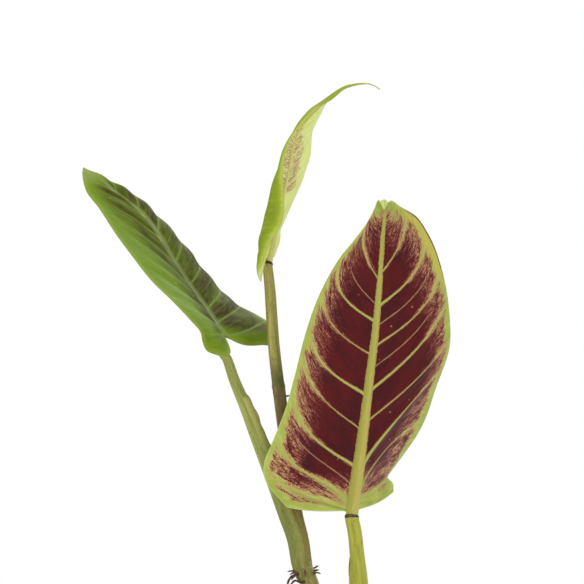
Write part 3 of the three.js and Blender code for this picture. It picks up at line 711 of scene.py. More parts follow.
@dataclass(frozen=True)
class StreakedUnderside(BladeFinish):
    """Leaf underside whose dark flush breaks up in streaks towards the veins and the margin.

    Widths are millimetres from the margin, from the midrib, from a vein or from the tip.
    """

    flush: Colour = srgb(86, 18, 20)
    flush_dark: Colour = srgb(68, 17, 22)
    flush_bright: Colour = srgb(108, 29, 27)
    blush: Colour = srgb(146, 78, 68)
    tan: Colour = srgb(188, 150, 108)
    vein: Colour = srgb(170, 176, 84)
    margin: Colour = srgb(158, 172, 72)
    margin_pale: Colour = srgb(180, 190, 98)
    # Pale line at the very margin: partly the margin's own pale edge, partly a painted highlight on the rim.
    rim: Colour = srgb(208, 212, 146)
    border: Span = (1.6, 9.5)
    haze: float = 0.42
    haze_reach: Span = (27.0, 6.0)
    fan: Span = (6.2, 1.2)
    fan_share: float = 0.8
    patchiness: float = 0.5
    clean_beyond: Span = (0.0, 0.0)
    scorched: Span = (0.0, 0.0)
    scorch: Colour = srgb(204, 188, 78)
    scorch_edge: Colour = srgb(122, 58, 40)
    grit: float = 1.0
    rib_reach: float = 0.9
    least_pale: float = 0.0
    tip_reach: Span = (30.0, 8.0)
    vein_soft: float = 0.28
    tip_tint: Colour = srgb(170, 180, 80)
    tint_reach: Span = (9.0, 2.0)
    thin_strength: float = 0.62
    roughness: Span = (0.42, 0.6)
    specular: float = 0.14
    shift: float = 3.0

    def _dress(self, coat: BladeCoat) -> None:
        """Lays the flush, its streaks, the pale margin with its partly painted rim highlight, and the veins.

        Args:
            coat: The blade's material.
        """
        light = self._paleness(coat)
        flush = coat.mix(coat.smooth(coat.cloud, 0.4, 0.64), self.flush, self.flush_dark)
        flush = coat.over(flush, self.flush_bright, coat.smooth(coat.fine, 0.5, 0.72), 0.6)
        pale = coat.mix(coat.smooth(coat.coarse, 0.35, 0.7), self.margin, self.margin_pale)
        colour = coat.mix(coat.smooth(light, 0.16, 0.56), flush, self.blush)
        colour = coat.mix(coat.smooth(light, 0.44, 0.74), colour, self.tan)
        colour = coat.mix(coat.smooth(light, 0.62, 0.9), colour, pale)
        weak = coat.plus(coat.thin_edge, coat.scaled(coat.fine, -0.5, 0.5))
        colour = coat.over(colour, self.tan, coat.smooth(weak, 0.3, -0.15), self.thin_strength)
        wander = coat.plus(coat.vein_edge, coat.scaled(coat.fine, -0.3, 0.3))
        colour = coat.mix(coat.smooth(wander, self.vein_soft, -self.vein_soft), colour, self.vein)
        # Pale line along the very margin: the margin's own pale edge with a painted highlight on the thin
        # rim.
        colour = coat.over(colour, self.rim, coat.smooth(coat.margin_gap, 0.8, 0.1), 0.55)
        if self.scorched[1]:
            colour = self._scorch(coat, colour)
        colour = coat.mix(coat.smooth(coat.tip_gap, *self.tint_reach), colour, self.tip_tint)
        colour = coat.over(colour, self.tan, coat.flecks(coat.place(), 170.0, 0.13, 0.2), 0.5)
        coat.skin(colour, self.roughness, 0.35, (0.35, 0.0002), self.specular)

    def _scorch(self, coat: BladeCoat, colour: Socket) -> Socket:
        """Yellows the right margin over a stretch counted from the tip and browns its very edge.

        Args:
            coat: The blade's material.
            colour: The colour so far.

        Returns:
            The new colour.
        """
        near, far = self.scorched
        right = coat.math("GREATER_THAN", coat.across, 0.0)
        wavy = coat.plus(coat.tip_gap, coat.scaled(coat.coarse, -8.0, 8.0))
        within = coat.times(coat.smooth(wavy, near, near + 12), coat.smooth(wavy, far, far - 12))
        within = coat.times(within, right)
        yellow = coat.times(coat.smooth(coat.margin_gap, 8.0, 2.0), 0.5)
        colour = coat.over(colour, self.scorch, yellow, within)
        return coat.over(colour, self.scorch_edge, coat.smooth(coat.margin_gap, 1.3, 0.4), within)

    def _paleness(self, coat: BladeCoat) -> Socket:
        """Gives how far the flush has faded at each place, from 0 to 1, broken up in streaks.

        Args:
            coat: The blade's material.

        Returns:
            The paleness.
        """
        swing = 7.0 * self.patchiness + 2.0
        uneven = coat.scaled(coat.broad, -swing, swing)
        low = coat.smooth(coat.tip_gap, 100.0, 150.0)
        right = coat.math("GREATER_THAN", coat.across, 0.0)
        slight = coat.plus(coat.plus(uneven, coat.margin_gap), coat.times(low, coat.scaled(right, 0.0, -2.5)))
        margin = coat.smooth(slight, self.border[1], self.border[0])
        wide = coat.times(low, coat.scaled(right, -4.0, -10.0))
        wide = coat.plus(coat.times_plus(uneven, 1.5, coat.margin_gap), wide)
        near_tip = coat.smooth(coat.times_plus(uneven, 2.5, coat.tip_gap), 46.0, 14.0)
        patchy = coat.scaled(coat.smooth(coat.broad, 0.34, 0.62), 0.55, 1.35)
        haze = coat.most(coat.smooth(wide, *self.haze_reach), near_tip)
        haze = coat.times(haze, coat.times(patchy, self.haze))
        tip = coat.smooth(coat.plus(coat.tip_gap, uneven), *self.tip_reach)
        rib = coat.smooth(coat.rib_gap, self.rib_reach, -0.4)
        beside = coat.times(coat.smooth(coat.vein_edge, 1.1, 0.0), 0.4)
        patches = coat.times(coat.smooth(coat.broad, 0.62, 0.78), self.patchiness)
        patches = coat.times(patches, coat.smooth(coat.margin_gap, 30.0, 8.0))
        fans = self._fans(coat, uneven, low)
        bias = coat.most(margin, haze, tip, rib, beside, fans, patches, self.least_pale)
        if self.clean_beyond[1]:
            bias = coat.most(bias, coat.smooth(coat.tip_gap, *self.clean_beyond))
        spread = coat.times(coat.math("SUBTRACT", 1.0, bias), coat.times(bias, 4.0))
        streaks = coat.times_plus(coat.fine, 1.6, coat.times(coat.coarse, 0.45))
        streaks = coat.times_plus(coat.grit, 1.2, streaks)
        streaks = coat.times_plus(streaks, 1.15 * self.grit, -1.87 * self.grit)
        return coat.times_plus(streaks, spread, bias)

    def _fans(self, coat: BladeCoat, uneven: Socket, low: Socket) -> Socket:
        """Fades the flush beside each vein, in a band that widens towards the margin and the leaf's foot.

        Args:
            coat: The blade's material.
            uneven: Slow variation along and across the blade.
            low: How close a place is to the leaf's foot, from 0 to 1.

        Returns:
            The paleness that the bands ask for.
        """
        gap = coat.times_plus(coat.margin_gap, 0.17, coat.vein_edge)
        gap = coat.plus(gap, coat.scaled(low, 0.0, -1.0))
        gap = coat.times_plus(uneven, 0.25, gap)
        return coat.times(coat.smooth(gap, *self.fan), self.fan_share)


@dataclass(frozen=True)
class GreenUpperside(BladeFinish):
    """Leaf upper side: yellow-green at the margin with a partly painted edge highlight, a dusky flush inside
    it, and fine pale veins whose grey is partly painted sheen.
    """

    green: Colour = srgb(104, 134, 28)
    green_bright: Colour = srgb(130, 156, 42)
    # Paler band along the margin: the margin's own lime, partly a painted highlight along the blade's edge
    # and fold.
    edge: Colour = srgb(140, 160, 58)
    flush: Colour = srgb(66, 64, 24)
    flush_grey: Colour = srgb(88, 86, 46)
    # Pale grey-green of the veins, greyed and strengthened so that it also paints the grey sheen beside them.
    vein: Colour = srgb(150, 162, 96)
    fleck: Colour = srgb(196, 200, 126)
    flush_from: Span = (2.0, 11.0)
    rib_flush: Span = (24.0, 6.0)
    flush_strength: float = 0.95
    vein_share: float = 0.6
    far_side: float = -1.0
    streaking: float = 0.5
    specular: float = 0.015
    tip_tint: Colour = srgb(146, 160, 86)
    tint_reach: Span = (30.0, 3.0)
    shift: float = 9.0

    def _dress(self, coat: BladeCoat) -> None:
        """Lays the green with its partly painted edge highlight, the dusky flush, the veins with their partly
        painted grey sheen, and the flecks.

        Args:
            coat: The blade's material.
        """
        bright = coat.smooth(coat.coarse, 0.5 - self.streaking / 2, 0.5 + self.streaking / 2)
        green = coat.over(self.green, self.green_bright, bright, 0.6)
        # The edge band mixes the margin's own paler green with a painted highlight along the blade's edge and
        # fold.
        rim = coat.smooth(coat.plus(coat.margin_gap, coat.scaled(coat.coarse, -2.0, 2.0)), 4.0, 0.3)
        green = coat.over(green, self.edge, rim, 0.8)
        flush = coat.mix(coat.smooth(coat.coarse, 0.38, 0.66), self.flush, self.flush_grey)
        colour = coat.mix(self._dusk(coat), green, flush)
        fine = coat.scaled(coat.fine, -0.45, 0.45)
        vein = coat.smooth(coat.plus(coat.vein_edge, fine), 0.3, -0.5)
        thin = coat.smooth(coat.plus(coat.thin_edge, fine), 0.35, -0.3)
        rib = coat.smooth(coat.rib_gap, 1.0, -0.2)
        netting = coat.times(coat.smooth(coat.grit, 0.55, 0.75), 0.1)
        vein, thin, rib = coat.times(vein, self.vein_share), coat.times(thin, 0.25), coat.times(rib, 0.5)
        # The vein mix is partly painted sheen: its grey stands in for the grey sheen near the veins.
        colour = coat.mix(coat.most(vein, thin, rib, netting), colour, self.vein)
        colour = coat.mix(coat.smooth(coat.tip_gap, *self.tint_reach), colour, self.tip_tint)
        near_vein = coat.scaled(coat.smooth(coat.vein_edge, 5.0, 1.0), 0.2, 0.8)
        colour = coat.over(colour, self.fleck, coat.flecks(coat.place(), 210.0, 0.17, 0.1), near_vein)
        coat.skin(colour, (0.44, 0.6), 0.3, (0.4, 0.00026), self.specular)

    def _dusk(self, coat: BladeCoat) -> Socket:
        """Gives the strength of the dusky flush: over one whole half, and beside the midrib on the other.

        Args:
            coat: The blade's material.

        Returns:
            The strength, from 0 to 1.
        """
        edge = coat.scaled(coat.coarse, -2.5, 2.5)
        inner = coat.smooth(coat.plus(coat.margin_gap, edge), *self.flush_from)
        beside_rib = coat.smooth(coat.plus(coat.rib_gap, edge), *self.rib_flush)
        far = coat.smooth(coat.times(coat.across, self.far_side), -0.5, 0.5)
        reach = coat.most(far, coat.times(beside_rib, 0.95))
        off_vein = coat.scaled(coat.smooth(coat.vein_edge, -0.3, 1.4), 0.45, 1.0)
        cloud = coat.scaled(coat.smooth(coat.cloud, 0.3, 0.66), 0.62, 1.12)
        dusk = coat.times(coat.times(inner, reach), off_vein)
        dusk = coat.times(dusk, coat.smooth(coat.tip_gap, 4.0, 40.0))
        return coat.math("MULTIPLY", coat.times(dusk, cloud), self.flush_strength, clamp=True)


@dataclass(frozen=True)
class MidribSkin(Finish):
    """Skin of a midrib: olive left flank as painted shade, tan right flank as painted light, paler on the
    leaf's upper side.
    """

    shaded_left_flank: Colour = srgb(158, 156, 64)
    lit_right_flank: Colour = srgb(184, 172, 84)
    tip: Colour = srgb(172, 172, 76)
    upper: Colour = srgb(156, 182, 98)
    pale: Colour = srgb(204, 198, 118)
    shift: float = 1.0

    def _dress(self, coat: Coat) -> None:
        """Lays the two flanks with their painted shade and light, the upper side and the pale fibres.

        Args:
            coat: The midrib's material.
        """
        fibres = coat.fibres(3.0, self.shift)
        # The left flank's olive is painted shade and the right flank's tan is painted light, chosen round the
        # tube.
        wavering = coat.times_plus(fibres["Streak"], 0.9, coat.value("around_cos"))
        colour = coat.mix(coat.smooth(wavering, 0.0, 0.75), self.shaded_left_flank, self.lit_right_flank)
        colour = coat.over(colour, self.tip, coat.smooth(coat.value("share"), 0.25, 0.8), 0.7)
        colour = coat.mix(coat.smooth(coat.value("around_sin"), 0.15, 0.55), colour, self.upper)
        colour = coat.over(colour, self.pale, coat.smooth(fibres["Fine"], 0.5, 0.72), 0.35)
        rough = coat.scaled(fibres["Cloud"], 0.42, 0.58)
        coat.close(colour, rough, fibres["Fine"], (0.4, 0.0002), 0.26, (0.1, 0.001))


@dataclass(frozen=True)
class StalkSkin(Finish):
    """Skin of a stalk or stem: fresh at the top, older below a height, streaked and flecked.

    Heights are millimetres over the ground.
    """

    fresh: Colour
    fresh_dark: Colour
    old: Colour
    old_dark: Colour
    change: Span
    edge: Colour
    edge_facing: float = 1.0
    edge_share: float = 0.5
    edge_from: Span = (0.7, 1.25)
    edge_below: float = 0.0
    stripe: Colour = srgb(205, 205, 140)
    stripe_share: float = 0.4
    fleck: Colour = srgb(96, 84, 44)
    fleck_share: float = 0.35
    waver: float = 0.006
    shade: Colour = srgb(82, 90, 40)
    shade_from: Span = (0.0, 0.0)
    foot: Colour = srgb(132, 128, 54)
    foot_share: float = 0.0
    foot_from: Span = (226.0, 192.0)
    shift: float = 2.0

    def _dress(self, coat: Coat) -> None:
        """Lays the fresh and the old skin, the edge, the stripes and the flecks.

        Args:
            coat: The stalk's material.
        """
        fibres = coat.fibres(2.6, self.shift)
        place = coat.place()
        height = coat.times(coat.add("SeparateXYZ", Vector=place).outputs["Z"], 1 / MM)
        wavy = coat.times_plus(fibres["Streak"], self.waver / MM, height)
        streak = coat.smooth(fibres["Streak"], 0.36, 0.66)
        fresh = coat.mix(streak, self.fresh, self.fresh_dark)
        old = coat.mix(streak, self.old, self.old_dark)
        if self.shade_from[0]:
            near = coat.smooth(height, *self.shade_from)
            near = coat.math("MULTIPLY", near, coat.scaled(fibres["Streak"], 1.5, 0.1), clamp=True)
            fresh = coat.mix(near, fresh, self.shade)
        colour = coat.mix(coat.smooth(wavy, self.change[1], self.change[0]), fresh, old)
        facing = coat.times(coat.value("around_cos"), self.edge_facing)
        flank = coat.smooth(coat.times_plus(fibres["Cloud"], 0.5, facing), *self.edge_from)
        if self.edge_below:
            flank = coat.times(flank, coat.smooth(height, self.edge_below, self.edge_below - 1.5))
        colour = coat.over(colour, self.edge, flank, self.edge_share)
        if self.foot_share:
            colour = coat.over(colour, self.foot, coat.smooth(wavy, *self.foot_from), self.foot_share)
        colour = coat.over(colour, self.stripe, coat.smooth(fibres["Fine"], 0.55, 0.72), self.stripe_share)
        flecks = coat.flecks(coat.squeezed(place, (1.0, 1.0, 0.35)), 950.0, 0.36, self.fleck_share)
        colour = coat.over(colour, self.fleck, flecks, 0.55)
        relief = coat.times_plus(fibres["Streak"], 0.8, fibres["Fine"])
        rough = coat.scaled(fibres["Cloud"], 0.42, 0.6)
        coat.close(colour, rough, relief, (0.4, 0.00025), 0.28, (0.06, 0.001))


@dataclass(frozen=True)
class Membrane(Finish):
    """Thin dry skin of a sheath's edge, pale and papery with darker tips."""

    body: Colour = srgb(196, 196, 128)
    dry: Colour = srgb(158, 132, 88)

    def _dress(self, coat: Coat) -> None:
        """Lays the pale skin and its dry rim.

        Args:
            coat: The membrane's material.
        """
        grain = coat.grain(900.0)
        edge = coat.times_plus(grain["Grain"], 0.9, coat.value("rim"))
        colour = coat.mix(coat.smooth(edge, 0.85, 1.4), self.body, self.dry)
        coat.close(colour, coat.scaled(grain["Patch"], 0.45, 0.7), grain["Grain"], (0.5, 0.0002))


@dataclass(frozen=True)
class BarkFinish(Finish):
    """Rough skin, for roots, lumps of the mix and the dark ring where a leaf joins its stalk."""

    dark: Colour
    light: Colour
    scale: float = 500.0
    contrast: Span = (0.38, 0.66)
    roughness: Span = (0.6, 0.9)
    relief: float = 0.0004

    def _dress(self, coat: Coat) -> None:
        """Lays the two tones and the deep grain.

        Args:
            coat: The bark's material.
        """
        grain = coat.grain(self.scale)
        tone = coat.times_plus(coat.value("tint"), 0.35, grain["Grain"])
        colour = coat.mix(coat.smooth(tone, *self.contrast), self.dark, self.light)
        coat.close(colour, coat.scaled(grain["Patch"], *self.roughness), grain["Grain"], (0.8, self.relief))


@dataclass(frozen=True)
class FiredClay(Finish):
    """Unglazed clay, banded from the wheel, with a pale bloom of salts and lighter rubbed edges."""

    name: str = "fired clay"
    body: Colour = srgb(184, 104, 70)
    deep: Colour = srgb(158, 82, 54)
    rubbed: Colour = srgb(210, 140, 104)
    bloom: Colour = srgb(216, 196, 178)
    speck: Colour = srgb(104, 58, 42)

    def _dress(self, coat: Coat) -> None:
        """Lays the banded clay, the salts, the rubbed edges and the specks.

        Args:
            coat: The clay's material.
        """
        place = coat.place()
        grain = coat.grain(1500.0, 0.7)
        bands = coat.noise(coat.squeezed(place, (4.0, 4.0, 520.0)), 1.0, 3.0, 0.6)
        tone = coat.times_plus(grain["Patch"], 0.6, coat.times(bands, 0.5))
        colour = coat.mix(coat.smooth(tone, 0.4, 0.72), self.body, self.deep)
        salt = coat.times_plus(coat.value("damp"), 0.26, coat.noise(place, 26.0, 5.0, 0.62))
        salt = coat.times_plus(coat.math("SUBTRACT", grain["Grain"], 0.5), 0.35, salt)
        colour = coat.over(colour, self.bloom, coat.smooth(salt, 0.62, 0.86), 0.7)
        worn = coat.times_plus(grain["Grain"], 0.8, coat.value("edge"))
        colour = coat.over(colour, self.rubbed, coat.smooth(worn, 0.75, 1.3), 0.6)
        colour = coat.over(colour, self.speck, coat.flecks(place, 420.0, 0.22, 0.16), 0.4)
        relief = coat.times_plus(bands, 1.2, grain["Grain"])
        coat.close(colour, coat.scaled(grain["Patch"], 0.78, 0.95), relief, (0.55, 0.00035), 0.25)


@dataclass(frozen=True)
class Vein:
    """Side vein. Start and end are shares of the midrib's and the margin's length.

    Width is where it leaves the midrib. Sweep bends it towards the leaf's base, bulge outwards and arch
    towards the upper side, and rise leans its first stretch towards the leaf's tip, or its base below zero.
    """

    start: float
    end: float
    width: float = 1.3
    sweep: float = 0.0
    bulge: float = 0.0
    arch: float = 0.0
    rise: float = 0.0


@dataclass(frozen=True)
class ThinVein:
    """Weak vein at a place between side veins, which fades out at a share of the way to the margin."""

    place: float
    reach: float
    width: float = 0.45


@dataclass(frozen=True)
class HalfBlade:
    """One half of a blade: its margin and the veins from the basal lobe to the tip."""

    margin: tuple[Point, ...]
    veins: tuple[Vein, ...]
    thin_veins: tuple[ThinVein, ...] = ()


@dataclass(frozen=True)
class LeafShape:
    """A leaf in its own axes: along the blade, across it, and lift towards the upper side."""

    base: Point
    along: Point
    across: Point
    knee: tuple[Point, ...]
    midline: tuple[Point, ...]
    drip_tip: tuple[Point, ...]
    rib_base: float
    rib_tip: float
    rib_sink: float
    ridge: float
    pucker: float
    left: HalfBlade
    right: HalfBlade
    rib_taper: float = 1.15

    def axes(self) -> Array:
        """Squares up the leaf's axes.

        Returns:
            The three axes, one a row.
        """
        along = unit(np.asarray(self.along, float))
        across = np.asarray(self.across, float)
        across = unit(across - (across @ along) * along)
        return np.stack([along, across, np.cross(along, across)])

    def placed(self, points: Array) -> Array:
        """Carries points from the leaf's axes to the object's."""
        return np.asarray(self.base, float) + points @ self.axes()

    def rib_line(self) -> Spline:
        """Gives the midrib's course."""
        return Spline([*self.knee, *self.midline[1:], *self.drip_tip])

    def rib_radius(self, shares: Array) -> Array:
        """Gives the midrib's radius at shares of its length."""
        return self.rib_tip + (self.rib_base - self.rib_tip) * (1 - shares) ** self.rib_taper


LEAF_RIGHT = LeafShape(
    base=(15, -24, 208), along=(0.091, -0.301, 0.949), across=(1, 0, 0),
    knee=((-0.5, 0, -1.2), (1.5, 0, 0)),
    midline=(
        (1.5, 0, 0), (20, 0.7, 2), (47, 1.8, 4.5), (80, 2.5, 7.5), (107, 3, 8.5), (134, 2.5, 9),
        (161, 1.5, 8), (176, 1, 5), (185, 0, -0.4), (185, -0.5, -6), (182, -0.5, -10),
    ),
    drip_tip=((180.5, -0.5, -10.8),), rib_base=3.6, rib_tip=0.8, rib_taper=1.3, rib_sink=0.5, ridge=0.6,
    pucker=1.1,
    left=HalfBlade(
        margin=(
            (-3, -37, 7.5), (10, -50, 11), (19.5, -52, 13), (30.5, -49, 15), (51, -43, 17),
            (72.5, -39, 20), (98, -35, 22.5), (119, -29.5, 26), (140, -21, 26), (154, -13, 23),
            (168, -6.8, 15), (180, -4, 4), (184.8, -3.4, -1.2), (182, -0.5, -10),
        ),
        veins=(
            Vein(0, 0, 0.58, 2, 0, 0), Vein(0, 0.11, 1.22, 3, 0, -1),
            Vein(0.01, 0.2, 1.58, 8, 0, -2, 13), Vein(0.13, 0.36, 1.44, 8, 10, -3),
            Vein(0.24, 0.468, 0.5, 6, 10, -4), Vein(0.345, 0.54, 1.3, 7.5, 10.5, -5),
            Vein(0.463, 0.63, 0.5, 6, 10, -5), Vein(0.563, 0.72, 1.08, 6, 11.5, -5),
            Vein(0.685, 0.87, 0.43, 1.5, 8, -4), Vein(0.93, 0.955, 0.35, 1, 2, -1),
        ),
        thin_veins=(ThinVein(1.45, 0.6), ThinVein(2.5, 0.8), ThinVein(7.4, 0.6)),
    ),
    right=HalfBlade(
        margin=(
            (0, 25, 38), (4, 24, 42), (6, 21, 44), (12.5, 23.5, 42), (23.5, 29, 40), (37.5, 35.5, 38),
            (52, 39.5, 35), (66, 41.5, 31), (91, 46, 24), (102, 46, 20.5), (120.5, 43, 17),
            (136, 39, 14.5), (157.5, 30.5, 11), (168.5, 23.5, 10.5), (174.5, 18.5, 8.5), (181, 9, 2.5),
            (185, 3.4, -1), (182, -0.5, -10),
        ),
        veins=(
            Vein(0, 0, 0.58, 1.5, 0, -4), Vein(0.028, 0.047, 1.37, 0.5, 0, -5),
            Vein(0.05, 0.24, 1.3, -7, -6, -7), Vein(0.125, 0.425, 1.58, -1.5, -2, -8, 4),
            Vein(0.263, 0.51, 0.65, 1.5, 1.5, -8), Vein(0.355, 0.62, 1.15, 3, 4, -7),
            Vein(0.49, 0.71, 0.79, 4.5, 6.5, -5), Vein(0.61, 0.825, 1.01, 4.5, 9, -4),
            Vein(0.705, 0.9, 0.5, 1.5, 4.5, -3), Vein(0.935, 0.962, 0.35, 1, 0.5, 0),
        ),
        thin_veins=(ThinVein(5.5, 0.7), ThinVein(6.5, 0.7)),
    ),
)

LEAF_LEFT = LeafShape(
    base=(-55.5, -8, 305.5), along=(-0.491, 0.64, 0.591), across=(-0.675, -0.708, 0.205),
    knee=((-1.9, 0.7, -5.8), (1.3, 0.9, -3.2), (6, 0.3, -0.6)),
    midline=(
        (5, 0, 0), (27, 0, 1.5), (50, 0, 2.5), (73, 0, 4.5), (96, 0, 7.5), (119, 0, 7), (139, 0, 3),
        (160, 0, 0), (182, 0, -4.5),
    ),
    drip_tip=((183.5, 0, -5.2),), rib_base=2.4, rib_tip=0.8, rib_sink=0.55, ridge=0.5, pucker=1.3,
    left=HalfBlade(
        margin=(
            (5, -36, 1), (11, -44, 5), (20, -45, 7), (34, -44, 4), (52, -43, -2), (72, -41, -6),
            (92, -37, -7), (115, -30, -5), (140, -20, -3), (160, -11, -2), (175, -4, -3.5),
            (182, 0, -4.5),
        ),
        veins=(
            Vein(0, 0, 0.49, 1, 0, 0, -12), Vein(0, 0.13, 0.91, 2, 0, 3, -6),
            Vein(0.06, 0.26, 0.91, 4, 0, 6), Vein(0.13, 0.39, 0.91, 6, 0, 9),
            Vein(0.255, 0.52, 0.84, 7, 0, 11), Vein(0.37, 0.63, 0.84, 6, 0, 11),
            Vein(0.52, 0.755, 0.77, 5, 0, 9), Vein(0.65, 0.85, 0.63, 3, 0, 7),
            Vein(0.785, 0.92, 0.42, 1, 0, 4),
        ),
        thin_veins=tuple(ThinVein(place + 0.5, 0.75) for place in range(1, 7)),
    ),
    right=HalfBlade(
        margin=(
            (-18.5, 21.5, -1.5), (-18, 29, -1), (-15.2, 33.2, 2.5), (-12.5, 36, 6.5), (-4, 40, 8),
            (12, 43, 8), (35, 43, 5.5), (65, 39, 3.5), (90, 33, 1), (127, 22, -2.5), (154, 13, -6.5),
            (176.5, 3, -6), (182, 0, -4.5),
        ),
        veins=(
            Vein(0, 0, 0.49, 9, -4.5, 1), Vein(0, 0.08, 0.84, 2, 0, 2), Vein(0.04, 0.24, 0.84, 4, 0, 3),
            Vein(0.1, 0.38, 0.91, 6, 0, 4), Vein(0.16, 0.5, 0.91, 7, 0, 5),
            Vein(0.25, 0.62, 0.84, 7, 0, 5), Vein(0.36, 0.73, 0.77, 6, 0, 4),
            Vein(0.47, 0.83, 0.7, 5, 0, 4), Vein(0.6, 0.9, 0.56, 3, 0, 3),
            Vein(0.78, 0.955, 0.42, 1, 0, 1),
        ),
        thin_veins=tuple(ThinVein(place + 0.5, 0.75) for place in range(1, 8)),
    ),
)

LEAF_MIDDLE = LeafShape(
    base=(-32.5, -4, 351), along=(0.217, -0.193, 0.957), across=(1, 0, 0),
    knee=((-0.5, 0, -1), (1.5, 0, 0)),
    midline=(
        (1.5, 0, 0), (27.5, 0, 0.5), (57.5, -0.5, 0), (68, -1, -1), (77.5, 0.5, -1), (89, 6, -2),
        (100.5, 13.5, -4.5), (109, 22.5, -7), (113, 31.5, -10.5),
    ),
    drip_tip=((113, 36.5, -13), (111, 41, -15.5)), rib_base=2.4, rib_tip=0.8, rib_sink=0.5, ridge=0.3,
    pucker=0.5,
    left=HalfBlade(
        margin=(
            (-10.4, -2, -14.5), (-5.3, -5, -17), (1, -3.8, -20), (11.5, -2.5, -22), (16.5, -1.5, -23),
            (25.5, 1.5, -23.5), (35, 1.5, -24), (43, -0.5, -23), (56.5, -4, -22.5), (67, -4.5, -21.5),
            (78, -2, -19.5), (87, 3, -17.5), (94.5, 7, -16.5), (99.5, 13.5, -15.5), (109, 22, -12),
            (113, 31.5, -10.5),
        ),
        veins=(
            Vein(0, 0, 0.4, -5.5, 1), Vein(0, 0.05, 0.64, -2, 3.5), Vein(0.05, 0.16, 0.64, 3, 7),
            Vein(0.15, 0.27, 0.64, 4, 11.5), Vein(0.28, 0.38, 0.64, 4, 10),
            Vein(0.42, 0.52, 0.56, 4, 4.5), Vein(0.55, 0.66, 0.48, 0, 2.5),
            Vein(0.68, 0.775, 0.4, -1, 2.5), Vein(0.82, 0.89, 0.35, -2, 0.5),
        ),
    ),
    right=HalfBlade(
        margin=(
            (3, 3, 7), (11.5, 4, 10), (19, 3, 12.5), (29, 5, 14.5), (38.5, 7.5, 15.5), (49, 9.5, 15.5),
            (56.5, 10, 14.5), (63, 10.5, 14), (73.5, 9, 12), (79.5, 8.5, 9), (87.5, 10.5, 4.5),
            (98.5, 13.5, -0.5), (108, 22, -6), (113, 31.5, -10.5),
        ),
        veins=(
            Vein(0, 0, 0.4, 0, 1), Vein(0.02, 0.1, 0.56, 1, 1), Vein(0.08, 0.26, 0.64, 3, 0),
            Vein(0.2, 0.38, 0.64, 3, 1), Vein(0.34, 0.51, 0.64, 3, 3), Vein(0.48, 0.64, 0.56, 2, 2),
            Vein(0.62, 0.745, 0.48, 1, 1), Vein(0.75, 0.85, 0.4, 0, 0),
        ),
    ),
    rib_taper=3.4,
)

class Side(Enum):
    """Half of a blade, with the sign of its across axis."""

    LEFT = -1
    RIGHT = 1


